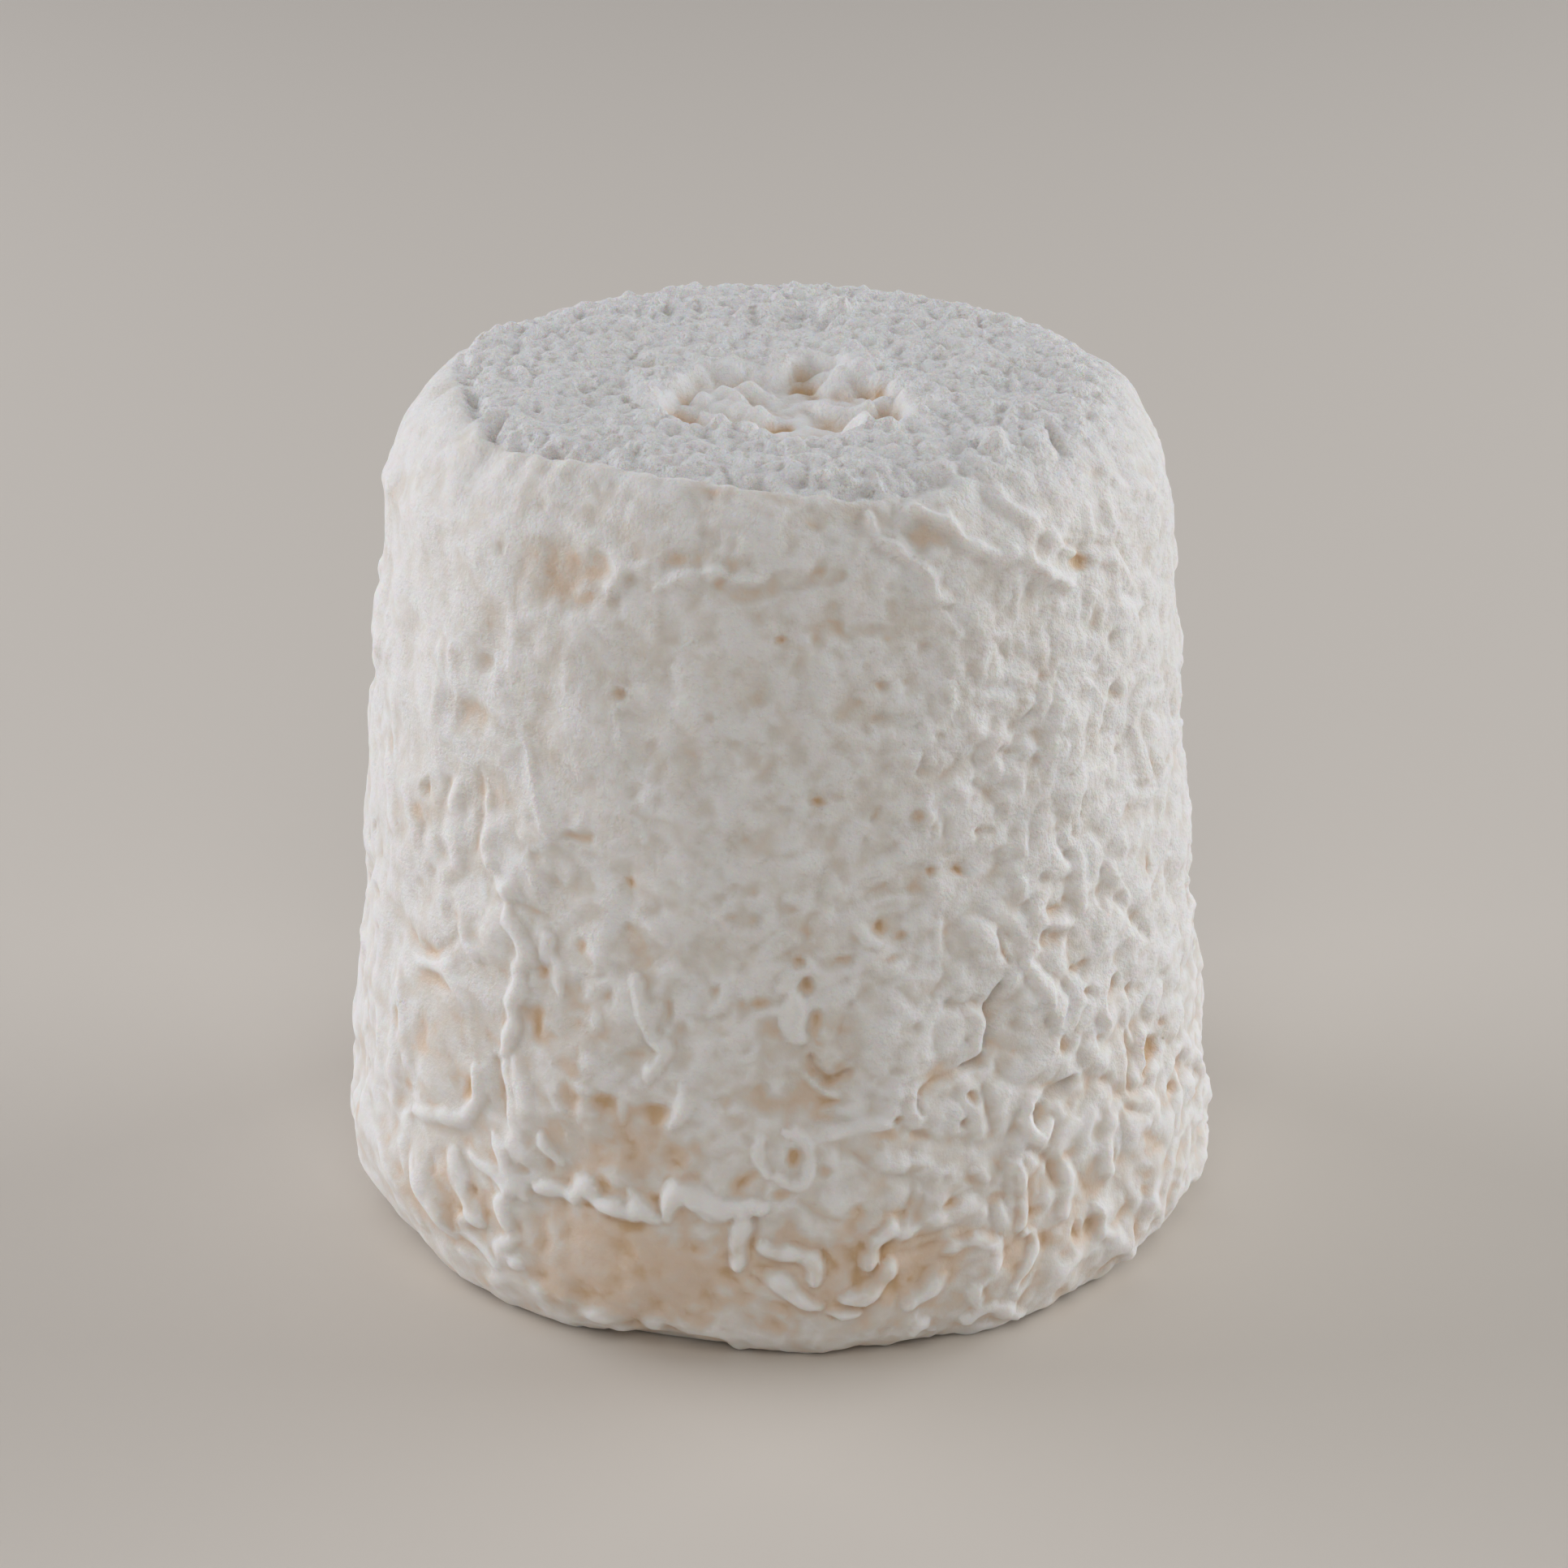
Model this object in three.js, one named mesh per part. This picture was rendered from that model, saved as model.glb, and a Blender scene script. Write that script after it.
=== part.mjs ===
// A small tapered soft-ripened cheese, one solid piece: a drum of curd that stands on its wide
// end, with the rind grown on it. Millimetres, +Z up, the flat foot at z = 0 and the origin under
// the middle of the outline.
//
// The body is a lathed drum whose skin is then moved a little in and out: it slumped and dried
// unevenly, its top leans, and the middle of the top is torn into a shallow ring-shaped hollow.
import * as THREE from "three";
import { mergeVertices } from "three/addons/utils/BufferGeometryUtils.js";

// Driving dimensions of the drum.
const HEIGHT = 60; // foot to the top face
const FOOT_RADIUS = 27.7; // edge of the flat foot
const BELLY_RADIUS = 31.0; // widest place, just above the foot
const BELLY_HEIGHT = 6.7;
const SHOULDER_RADIUS = 26.8; // side, where it starts to turn into the top
const SHOULDER_ROUNDING = 8.0; // radius of that turn

// How the drum is stepped into flat faces.
const STEPS_AROUND = 84;
const STEPS_UP_FOOT = 4;
const STEPS_UP_SIDE = 18;
const STEPS_OVER_SHOULDER = 6;
const STEPS_ACROSS_TOP = 8;
const MERGE_DISTANCE = 1e-3;

// The top leans: its back left edge is this much above the mean, and its front right this much below.
const LEAN = 0.5;
const LEAN_BEARING = THREE.MathUtils.degToRad(-155);
const TOP_LEVEL = 0.99; // above this part of the height, a point belongs to the top face

// Slow waves in the side: how many go round, how many go up the height, how far they move the
// skin, and where they start.
const SIDE_WAVES = [
  { around: 2, up: 0.4, depth: 0.3, start: 0.7 },
  { around: 3, up: 1.1, depth: 0.25, start: 2.1 },
  { around: 5, up: -1.6, depth: 0.2, start: 4.0 },
  { around: 8, up: 2.3, depth: 0.15, start: 1.2 },
];

// Broad dents in the side: bearing from the front (degrees, towards +X), height of the middle,
// reach and depth.
const DENTS = [
  { bearing: -31, height: 52.5, reach: 5.0, depth: 0.6 },
  { bearing: -45, height: 33.0, reach: 6.0, depth: 0.5 },
  { bearing: 6, height: 22.0, reach: 5.0, depth: 0.5 },
  { bearing: 28, height: 23.5, reach: 5.0, depth: 0.6 },
  { bearing: 58, height: 16.5, reach: 5.0, depth: 0.6 },
  { bearing: -18, height: 8.0, reach: 9.0, depth: 0.7 },
  { bearing: 112, height: 38.0, reach: 8.0, depth: 0.6 },
  { bearing: 168, height: 20.0, reach: 9.0, depth: 0.7 },
  { bearing: -120, height: 44.0, reach: 8.0, depth: 0.6 },
];

// The torn hollow in the top: its middle, its radius, how deep its ring goes, and how far along
// the radius the deepest place is.
const HOLLOW_CENTRE = new THREE.Vector2(1, -6);
const HOLLOW_RADIUS = 9.5;
const HOLLOW_DEPTH = 1.8;
const HOLLOW_DEEPEST = 0.62;

// 1 in the middle, 0 at a distance of 1 and beyond.
const smoothBump = (distance) =>
  distance >= 1 ? 0 : 0.5 + 0.5 * Math.cos(Math.PI * distance);

// Half of the drum's outline, from the middle of the foot round to the middle of the top.
function drumOutline() {
  const outline = [new THREE.Vector2(0, 0)];
  for (let i = 0; i <= STEPS_UP_FOOT; i++) {
    const turn = (i / STEPS_UP_FOOT) * (Math.PI / 2);
    outline.push(
      new THREE.Vector2(
        FOOT_RADIUS + (BELLY_RADIUS - FOOT_RADIUS) * Math.sin(turn),
        BELLY_HEIGHT * (1 - Math.cos(turn)),
      ),
    );
  }
  const shoulderHeight = HEIGHT - SHOULDER_ROUNDING;
  for (let i = 1; i <= STEPS_UP_SIDE; i++) {
    const part = i / STEPS_UP_SIDE;
    outline.push(
      new THREE.Vector2(
        THREE.MathUtils.lerp(BELLY_RADIUS, SHOULDER_RADIUS, part),
        THREE.MathUtils.lerp(BELLY_HEIGHT, shoulderHeight, part),
      ),
    );
  }
  const topRadius = SHOULDER_RADIUS - SHOULDER_ROUNDING;
  for (let i = 1; i <= STEPS_OVER_SHOULDER; i++) {
    const turn = (i / STEPS_OVER_SHOULDER) * (Math.PI / 2);
    outline.push(
      new THREE.Vector2(
        topRadius + SHOULDER_ROUNDING * Math.cos(turn),
        shoulderHeight + SHOULDER_ROUNDING * Math.sin(turn),
      ),
    );
  }
  for (let i = STEPS_ACROSS_TOP - 1; i >= 0; i--) {
    outline.push(new THREE.Vector2((topRadius * i) / STEPS_ACROSS_TOP, HEIGHT));
  }
  return outline;
}

// How far the side's skin stands out (+) or in (-) at a bearing and a height.
function sideOffset(bearing, height) {
  let offset = 0;
  for (const wave of SIDE_WAVES) {
    const rise = (2 * Math.PI * wave.up * height) / HEIGHT;
    offset += wave.depth * Math.cos(wave.around * bearing + rise + wave.start);
  }
  for (const dent of DENTS) {
    const turn = bearing - THREE.MathUtils.degToRad(dent.bearing);
    const along = Math.atan2(Math.sin(turn), Math.cos(turn)) * SHOULDER_RADIUS;
    const distance = Math.hypot(along, height - dent.height) / dent.reach;
    offset -= dent.depth * smoothBump(distance);
  }
  return offset;
}

// How far the top face is sunk at a place, inside the torn hollow.
function hollowDepth(x, y) {
  const distance =
    Math.hypot(x - HOLLOW_CENTRE.x, y - HOLLOW_CENTRE.y) / HOLLOW_RADIUS;
  const width = distance < HOLLOW_DEEPEST ? HOLLOW_DEEPEST : 1 - HOLLOW_DEEPEST;
  return HOLLOW_DEPTH * smoothBump((distance - HOLLOW_DEEPEST) / width);
}

// Moves a point of the plain drum to its place on the uneven cheese. The foot stays flat.
function settle(point) {
  const radius = Math.hypot(point.x, point.y);
  const bearing = Math.atan2(point.x, -point.y);
  const onSide = THREE.MathUtils.smoothstep(radius, SHOULDER_RADIUS / 2, SHOULDER_RADIUS);
  const out = 1 + (onSide * sideOffset(bearing, point.z)) / BELLY_RADIUS;
  point.x *= out;
  point.y *= out;

  const level = point.z / HEIGHT;
  const lean = (radius / SHOULDER_RADIUS) * Math.cos(bearing - LEAN_BEARING);
  point.z += level * LEAN * lean;
  if (level > TOP_LEVEL) point.z -= hollowDepth(point.x, point.y);
}

function cheeseGeometry() {
  const geometry = new THREE.LatheGeometry(drumOutline(), STEPS_AROUND);
  geometry.rotateX(Math.PI / 2);
  geometry.deleteAttribute("normal");
  geometry.deleteAttribute("uv");
  const merged = mergeVertices(geometry, MERGE_DISTANCE);

  const position = merged.getAttribute("position");
  const point = new THREE.Vector3();
  for (let i = 0; i < position.count; i++) {
    settle(point.fromBufferAttribute(position, i));
    position.setXYZ(i, point.x, point.y, point.z);
  }
  merged.computeBoundingBox();
  const middle = merged.boundingBox.getCenter(new THREE.Vector3());
  merged.translate(-middle.x, -middle.y, 0);
  merged.computeVertexNormals();
  return merged;
}

const rind = new THREE.MeshStandardMaterial({
  color: 0xe8e2d8,
  roughness: 0.85,
  metalness: 0,
});

const cheese = new THREE.Group();
const cheeseWheel = new THREE.Mesh(cheeseGeometry(), rind);
cheeseWheel.name = "cheese_wheel";
cheese.add(cheeseWheel);

export default cheese;
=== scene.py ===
"""A small tapered soft-ripened goat's cheese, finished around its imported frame.

The cheese is one piece. Its drum is drawn up from the foot by hand-modelling operators, and the
rind is then raised on it in code, because worms, folds and pits of mould have no operator of
their own: flat maps of relief are made in millimetres, one unrolled round the side and one each
for the top and the foot, and every point of the skin moves out or in by what its map says.
Lengths inside the maps are millimetres, and everything handed to Blender is metres.
"""

import logging
import math
from dataclasses import dataclass
from enum import Enum
from typing import Iterable, Sequence

import bpy
import numpy as np
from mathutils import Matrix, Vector


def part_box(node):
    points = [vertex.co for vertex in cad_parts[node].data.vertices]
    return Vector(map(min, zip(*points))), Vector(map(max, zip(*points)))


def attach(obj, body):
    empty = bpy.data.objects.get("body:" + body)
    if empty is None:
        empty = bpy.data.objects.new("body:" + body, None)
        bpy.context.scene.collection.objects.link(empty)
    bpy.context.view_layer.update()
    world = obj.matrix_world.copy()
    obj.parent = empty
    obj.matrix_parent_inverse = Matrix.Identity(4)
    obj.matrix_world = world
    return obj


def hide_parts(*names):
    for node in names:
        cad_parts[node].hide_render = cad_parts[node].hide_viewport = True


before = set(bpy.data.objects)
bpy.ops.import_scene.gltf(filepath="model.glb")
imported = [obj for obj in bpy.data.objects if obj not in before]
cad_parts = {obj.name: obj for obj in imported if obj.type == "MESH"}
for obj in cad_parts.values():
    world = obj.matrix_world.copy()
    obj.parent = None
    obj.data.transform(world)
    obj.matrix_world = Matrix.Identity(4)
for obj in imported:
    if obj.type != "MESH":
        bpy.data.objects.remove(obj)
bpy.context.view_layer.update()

MM = 0.001
SEED = 20
NODE = "cheese_wheel"
BODY = "root"
TURN = 2 * math.pi
FOOT_SKIN = 0.3  # millimetres: below this height a point belongs to the foot
UNEVEN = 0.16  # how much a listed feature's size varies along it, as a share
LINE_STEP = 0.12  # millimetres between the drawn points of a stroke

log = logging.getLogger("cheese")
Path = Sequence[tuple[float, float]]
Value = bpy.types.NodeSocket | float | tuple[float, ...]


# ---------------------------------------------------------------- small helpers


def linear(hex_colour: str) -> tuple[float, float, float, float]:
    """Turns an sRGB colour into the linear one that shaders take.

    Args:
        hex_colour: Six hex digits, such as "E8E2D8".

    Returns:
        Linear red, green and blue, with an alpha of one.
    """
    parts = [int(hex_colour[i : i + 2], 16) / 255 for i in (0, 2, 4)]
    rgb = [c / 12.92 if c <= 0.04045 else ((c + 0.055) / 1.055) ** 2.4 for c in parts]
    return (rgb[0], rgb[1], rgb[2], 1.0)


def add_node(tree: bpy.types.NodeTree, kind: str, settings: dict, links: dict) -> bpy.types.Node:
    """Adds one node to a material or world, with its settings and what feeds it.

    Args:
        tree: The node tree that gets the node.
        kind: The node's type name.
        settings: Attribute names, or input names and numbers, with their values.
        links: Input names or numbers, with the output sockets that feed them.

    Returns:
        The new node.
    """
    node = tree.nodes.new(kind)
    for name, value in settings.items():
        if isinstance(name, str) and hasattr(node, name):
            setattr(node, name, value)
        else:
            node.inputs[name].default_value = value
    for name, source in links.items():
        tree.links.new(source, node.inputs[name])
    return node


def deselect_all() -> None:
    """Clears the selection, so that an operator acts only on what is made next."""
    for thing in bpy.context.selected_objects:
        thing.select_set(False)


def select_only(thing: bpy.types.Object) -> None:
    """Selects one object alone and makes it the active one."""
    deselect_all()
    thing.select_set(True)
    bpy.context.view_layer.objects.active = thing


def numbers(source: bpy.types.bpy_prop_collection, name: str, width: int = 3) -> np.ndarray:
    """Reads one property off every item of a mesh.

    Args:
        source: The mesh's points, faces or corners.
        name: The property.
        width: How many numbers each item has: 1, or 3 for a place or a direction.

    Returns:
        One row for each item.
    """
    flat = np.empty(len(source) * width, float if width > 1 else int)
    source.foreach_get(name, flat)
    return flat.reshape(-1, width) if width > 1 else flat


def smooth_step(low: float, high: float, value: np.ndarray) -> np.ndarray:
    """Gives 0 at low, 1 at high and a soft rise between them. High may be the lower of the two."""
    part = np.clip((value - low) / (high - low), 0.0, 1.0)
    return part * part * (3.0 - 2.0 * part)


def soft_bump(distance: np.ndarray) -> np.ndarray:
    """Gives 1 at a distance of 0, and 0 at 1 and beyond, with no corner at either."""
    return 0.5 + 0.5 * np.cos(math.pi * np.clip(distance, 0.0, 1.0))


def curve_through(points: Path, step: float) -> np.ndarray:
    """Draws a smooth Catmull-Rom line through given points.

    Args:
        points: The points, in millimetres on a map.
        step: About how far apart the drawn points are.

    Returns:
        The drawn points, one row each.
    """
    knots = np.array(points, float)
    knots = np.vstack([2 * knots[0] - knots[1], knots, 2 * knots[-1] - knots[-2]])
    drawn = []
    for a, b, c, d in zip(knots, knots[1:], knots[2:], knots[3:]):
        count = max(2, int(np.linalg.norm(c - b) / step))
        t = np.linspace(0.0, 1.0, count, endpoint=False)[:, None]
        bend = 2 * a - 5 * b + 4 * c - d
        twist = -a + 3 * b - 3 * c + d
        drawn.append(0.5 * (2 * b + (c - a) * t + bend * t**2 + twist * t**3))
    return np.vstack(drawn + [knots[-2:-1]])


# ---------------------------------------------------------------- the drum


@dataclass(frozen=True)
class Drum:
    """The plain tapered drum under the rind, in millimetres.

    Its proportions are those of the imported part, and its size is that part's box.
    """

    height: float
    belly_radius: float
    foot_share: float = 0.894
    shoulder_share: float = 0.865
    belly_height_share: float = 0.112
    rounding_share: float = 0.133
    rings_up_foot: int = 8
    rings_up_side: int = 10
    rings_over_shoulder: int = 10
    steps_around: int = 192
    voxel: float = 0.22

    @classmethod
    def in_box(cls, low: Vector, high: Vector, lean: float) -> "Drum":
        """Sizes a drum to fill a box in metres, less what the leaning top adds in millimetres."""
        width = ((high[0] - low[0]) + (high[1] - low[1])) / 2
        return cls(height=(high[2] - low[2]) / MM - lean, belly_radius=width / 2 / MM)

    @property
    def foot_radius(self) -> float:
        """Radius of the flat foot."""
        return self.belly_radius * self.foot_share

    @property
    def shoulder_radius(self) -> float:
        """Radius of the side where it starts to turn into the top."""
        return self.belly_radius * self.shoulder_share

    @property
    def belly_height(self) -> float:
        """Height of the widest place."""
        return self.height * self.belly_height_share

    @property
    def rounding(self) -> float:
        """Radius of the turn from side to top."""
        return self.height * self.rounding_share

    @property
    def shoulder_height(self) -> float:
        """Height at which the side starts to turn into the top."""
        return self.height - self.rounding

    def outline(self) -> list[tuple[float, float]]:
        """Gives the drum's outline from the edge of the foot up to the edge of the flat top.

        Returns:
            Radius and height of each ring, upwards.
        """
        rings = []
        for i in range(self.rings_up_foot + 1):
            turn = i / self.rings_up_foot * math.pi / 2
            swell = (self.belly_radius - self.foot_radius) * math.sin(turn)
            rings.append((self.foot_radius + swell, self.belly_height * (1 - math.cos(turn))))
        for i in range(1, self.rings_up_side + 1):
            part = i / self.rings_up_side
            radius = self.belly_radius + (self.shoulder_radius - self.belly_radius) * part
            height = self.belly_height + (self.shoulder_height - self.belly_height) * part
            rings.append((radius, height))
        for i in range(1, self.rings_over_shoulder + 1):
            turn = i / self.rings_over_shoulder * math.pi / 2
            radius = self.shoulder_radius - self.rounding * (1 - math.cos(turn))
            rings.append((radius, self.shoulder_height + self.rounding * math.sin(turn)))
        return rings

    def climb(self, height: np.ndarray) -> np.ndarray:
        """Turns heights into distances up the skin, which run ahead of them over the shoulder."""
        over = np.clip((height - self.shoulder_height) / self.rounding, 0.0, 1.0)
        return np.minimum(height, self.shoulder_height) + self.rounding * np.arcsin(over)

    def build(self, name: str) -> bpy.types.Object:
        """Draws the drum up from its foot, ring by ring, and remeshes it into even faces.

        Args:
            name: The new object's name.

        Returns:
            The drum, standing on the origin.
        """
        rings = self.outline()
        deselect_all()
        bpy.ops.mesh.primitive_circle_add(
            vertices=self.steps_around, radius=rings[0][0] * MM, fill_type="NGON"
        )
        drum = bpy.context.active_object
        drum.name = name
        bpy.ops.object.mode_set(mode="EDIT")
        bpy.ops.mesh.select_all(action="SELECT")
        for (radius, height), (wider, higher) in zip(rings, rings[1:]):
            bpy.ops.mesh.extrude_region_move(
                TRANSFORM_OT_translate={"value": (0, 0, (higher - height) * MM)}
            )
            spread = wider / radius
            bpy.ops.transform.resize(
                value=(spread, spread, 1), center_override=(0, 0, higher * MM)
            )
        bpy.ops.mesh.select_all(action="SELECT")
        bpy.ops.mesh.normals_make_consistent(inside=False)
        bpy.ops.object.mode_set(mode="OBJECT")
        remesh = drum.modifiers.new("even_faces", "REMESH")
        remesh.mode = "VOXEL"
        remesh.voxel_size = self.voxel * MM
        bpy.ops.object.modifier_apply(modifier=remesh.name)
        return drum


# ---------------------------------------------------------------- maps of relief


class Map:
    """A flat map of the rind, with relief and colour at each cell.

    Attributes:
        relief: How far the skin stands out, in millimetres.
        stain_and_shade: 0 where white mould covers the skin, 0.5 where it is bare, and 1 in an
            ochre pit; it also carries painted shade in creases, hollows and the lip's gutter.
        powder: How thick the mould's fine grain is, 0 to 1.
        u: Each cell's place across the map.
        v: Each cell's place up the map.
    """

    def __init__(
        self, low: Sequence[float], high: Sequence[float], cell: float, rng: np.random.Generator
    ) -> None:
        """Lays out an empty map.

        Args:
            low: Its lowest corner, in millimetres.
            high: Its highest corner.
            cell: About how large a cell is.
            rng: Where its random draws come from.
        """
        self.rng = rng
        self.low = np.array(low, float)
        across, up = (np.array(high, float) - self.low) / cell
        self.count = (int(round(up)), int(round(across)))
        self.step = (np.array(high, float) - self.low) / (self.count[1], self.count[0])
        self.u, self.v = np.meshgrid(
            self.low[0] + np.arange(self.count[1]) * self.step[0],
            self.low[1] + np.arange(self.count[0]) * self.step[1],
        )
        self.waves_up = np.fft.fftfreq(self.count[0], self.step[1])[:, None]
        self.waves_across = np.fft.rfftfreq(self.count[1], self.step[0])[None, :]
        self.relief = np.zeros(self.count)
        self.stain_and_shade = np.zeros(self.count)
        self.powder = np.zeros(self.count)

    def filtered(self, field: np.ndarray, response: np.ndarray) -> np.ndarray:
        """Keeps each wavelength of a field by its share in the response."""
        return np.fft.irfft2(np.fft.rfft2(field) * response, s=self.count)

    def blurred(self, field: np.ndarray, reach: float) -> np.ndarray:
        """Blurs a field over a reach in millimetres."""
        waves = np.hypot(self.waves_up, self.waves_across)
        return self.filtered(field, np.exp(-2 * (math.pi * reach * waves) ** 2))

    def band(self, wavelength: float, spread: float, tall: float = 1.0) -> np.ndarray:
        """Gives the response that keeps one wavelength, longer up the map by a factor."""
        waves = np.hypot(self.waves_up * tall, self.waves_across)
        return np.exp(-(((waves * wavelength - 1) / spread) ** 2))

    def noise(self, wavelength: float, spread: float = 0.45, tall: float = 1.0) -> np.ndarray:
        """Grows even random lumps of one size.

        Args:
            wavelength: From one lump's top to the next, in millimetres.
            spread: How much the sizes vary, as a share of the wavelength.
            tall: How many times taller than wide they are.

        Returns:
            A field with a mean of 0 and a spread of 1.
        """
        response = self.band(wavelength, spread, tall)
        field = self.filtered(self.rng.standard_normal(self.count), response)
        return field / field.std()

    def cloud(self, wavelength: float, octaves: int, fade: float = 0.6) -> np.ndarray:
        """Adds up lumps of halving sizes, each fade times as strong as the size before it."""
        field = sum(fade**i * self.noise(wavelength / 2**i) for i in range(octaves))
        return field / field.std()

    def pillows(self, wavelength: float, tall: float = 1.0) -> np.ndarray:
        """Grows lumps with rounded tops that press together at narrow creases.

        Args:
            wavelength: Twice the spacing of the lumps.
            tall: How many times taller than wide they are.

        Returns:
            A field with a mean of 0, about -0.8 in the creases and 1 on the tops.
        """
        tallest, plumpness = 1.8, 0.8
        field = np.minimum(np.abs(self.noise(wavelength, 0.4, tall)), tallest) ** plumpness
        field = self.warped(field, wavelength * 0.16, wavelength * 1.1)
        return field - field.mean()

    def labyrinth(self, wavelength: float, lean: float, rounds: int = 14) -> np.ndarray:
        """Grows the maze of ridges that a spreading mould makes.

        Each round keeps the ridges' own spacing and sharpens what is left, as growth that
        feeds itself and starves its neighbours does.

        Args:
            wavelength: From one ridge to the next, in millimetres.
            lean: Above 0 the hollows win, and below 0 the ridges do.
            rounds: How long it grows.

        Returns:
            A field from -1 in the hollows to 1 on the ridges.
        """
        spread, hunger, softness = 0.32, 2.2, 0.16
        field = self.noise(wavelength)
        for _ in range(rounds):
            field = self.filtered(field, self.band(wavelength, spread))
            field = np.tanh(hunger * (field / field.std() - lean))
        return self.blurred(self.warped(field, wavelength * 0.12, wavelength * 1.5), softness)

    def warped(self, field: np.ndarray, reach: float, wavelength: float) -> np.ndarray:
        """Pulls a field about, so that its lumps lose their even shape.

        Args:
            field: What to pull.
            reach: How far, in millimetres.
            wavelength: The size of the pulls.

        Returns:
            The pulled field.
        """
        across = reach * self.noise(wavelength)
        up = reach * self.noise(wavelength)
        return self.read(field, self.u + across, self.v + up)

    def window(self, points: np.ndarray, margin: float) -> tuple[slice, slice]:
        """Finds the cells round some points.

        Args:
            points: Places on the map, one row each.
            margin: How far round them to reach, in millimetres.

        Returns:
            The rows and columns.
        """
        low = ((points.min(axis=0) - margin - self.low) / self.step).astype(int)
        high = ((points.max(axis=0) + margin - self.low) / self.step).astype(int) + 2
        low, high = np.maximum(low, 0), np.maximum(high, 0)
        return slice(low[1], high[1]), slice(low[0], high[0])

    def read(self, field: np.ndarray, u: np.ndarray, v: np.ndarray) -> np.ndarray:
        """Reads a field between its cells, wrapping round at its edges.

        Args:
            field: What to read.
            u: Places across the map.
            v: Places up the map.

        Returns:
            The field's value at each place.
        """
        x = (u - self.low[0]) / self.step[0]
        y = (v - self.low[1]) / self.step[1]
        i, j = np.floor(x).astype(int), np.floor(y).astype(int)
        s, t = x - i, y - j
        rows, columns = self.count
        i0, i1, j0, j1 = i % columns, (i + 1) % columns, j % rows, (j + 1) % rows
        below = field[j0, i0] * (1 - s) + field[j0, i1] * s
        above = field[j1, i0] * (1 - s) + field[j1, i1] * s
        return below * (1 - t) + above * t


class Section(Enum):
    """The cross-section of a listed feature."""

    WORM = "a round cord that lies on the skin, with a crease each side"
    FOLD = "a soft ridge"
    CREST = "a sharp little crest, thick with mould"
    GROOVE = "a narrow crease"
    STRIP = "a shallow strip with clean edges, where the film has parted"


@dataclass(frozen=True)
class Stroke:
    """A ridge or a crease that follows a line.

    Attributes:
        path: Bearing in degrees and height in millimetres on the side, or x and y on the top.
        width: How wide it is, in millimetres.
        rise: How far it stands out, or goes in if it is a groove or a strip, in millimetres.
        section: Its cross-section.
    """

    path: Path
    width: float
    rise: float
    section: Section

    def draw(self, field: Map, points: Path, wander: np.ndarray) -> None:
        """Raises the stroke on a map.

        Args:
            field: The map.
            points: The path, in the map's own millimetres.
            wander: A field that makes the width uneven.
        """
        line = curve_through(points, LINE_STEP)
        rows, columns = field.window(line, self.width * 1.5 + 0.5)
        u, v = field.u[rows, columns], field.v[rows, columns]
        away = np.hypot(u[..., None] - line[:, 0], v[..., None] - line[:, 1])
        along = away.argmin(axis=-1) / (len(line) - 1)
        ends = 0.6 + 0.4 * np.sqrt(np.clip(np.sin(math.pi * along), 0.0, 1.0))
        half = self.width / 2 * ends * (1 + UNEVEN * wander[rows, columns])
        distance = away.min(axis=-1) / half
        strength = 1 + 0.15 * wander[rows, columns]
        relief, stain_and_shade = field.relief[rows, columns], field.stain_and_shade[rows, columns]
        if self.section is Section.WORM:
            fullness, crease_place, crease_half, crease_depth = 0.65, 1.2, 0.45, 0.13
            cord = np.clip(1 - distance**2, 0.0, 1.0) ** fullness
            crease = soft_bump(np.abs(distance - crease_place) / crease_half)
            relief += self.rise * (strength * cord - crease_depth * crease)
            stain_and_shade += 0.1 * crease - 0.2 * smooth_step(1.15, 0.7, distance)
        elif self.section is Section.FOLD:
            relief += self.rise * strength * soft_bump(distance / 1.4)
            stain_and_shade -= 0.12 * soft_bump(distance)
        elif self.section is Section.CREST:
            relief += self.rise * strength * np.exp(-((distance / 0.8) ** 2))
            stain_and_shade -= 0.25 * soft_bump(distance / 1.2)
            field.powder[rows, columns] += 0.4 * soft_bump(distance / 1.5)
        elif self.section is Section.GROOVE:
            relief -= self.rise * strength * soft_bump(distance / 1.15)
            stain_and_shade += 0.18 * soft_bump(distance / 1.1)
        else:
            inside = smooth_step(1.15, 0.85, distance)
            relief -= self.rise * inside
            stain_and_shade += 0.18 * inside
            field.powder[rows, columns] -= 0.5 * inside


@dataclass(frozen=True)
class Dent:
    """A pit, a shallow dent or a lump, longer one way than the other.

    Attributes:
        place: Bearing and height on the side, or x and y on the top.
        length: How long it is, in millimetres.
        width: How wide it is, in millimetres.
        depth: How far it goes in, in millimetres, or stands out if below 0.
        slant: Which way its length lies, in degrees up from level.
        stain_and_shade: How bare or ochre its floor is, as in Map; in some of the top's pits it is
            painted shade.
        steep: How steep its wall is: 1 is a soft dish, and 4 a pit with a flat floor.
    """

    place: tuple[float, float]
    length: float
    width: float
    depth: float
    slant: float = 0.0
    stain_and_shade: float = 0.0
    steep: float = 1.5

    def draw(self, field: Map, middle: tuple[float, float], wander: np.ndarray) -> None:
        """Sinks the dent into a map.

        Args:
            field: The map.
            middle: The place, in the map's own millimetres.
            wander: A field that makes the outline uneven.
        """
        reach = max(self.length, self.width) * 0.8 + 0.5
        rows, columns = field.window(np.array([middle]), reach)
        u = field.u[rows, columns] - middle[0]
        v = field.v[rows, columns] - middle[1]
        turn = math.radians(self.slant)
        half = 0.58  # a bump fades out past its stated edge, so it is drawn a little wide
        along = (u * math.cos(turn) + v * math.sin(turn)) / (self.length * half)
        across = (v * math.cos(turn) - u * math.sin(turn)) / (self.width * half)
        distance = np.hypot(along, across) * (1 + UNEVEN * wander[rows, columns])
        inside = 1 - (1 - soft_bump(distance)) ** self.steep
        field.relief[rows, columns] -= self.depth * inside
        field.stain_and_shade[rows, columns] += self.stain_and_shade * inside


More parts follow.
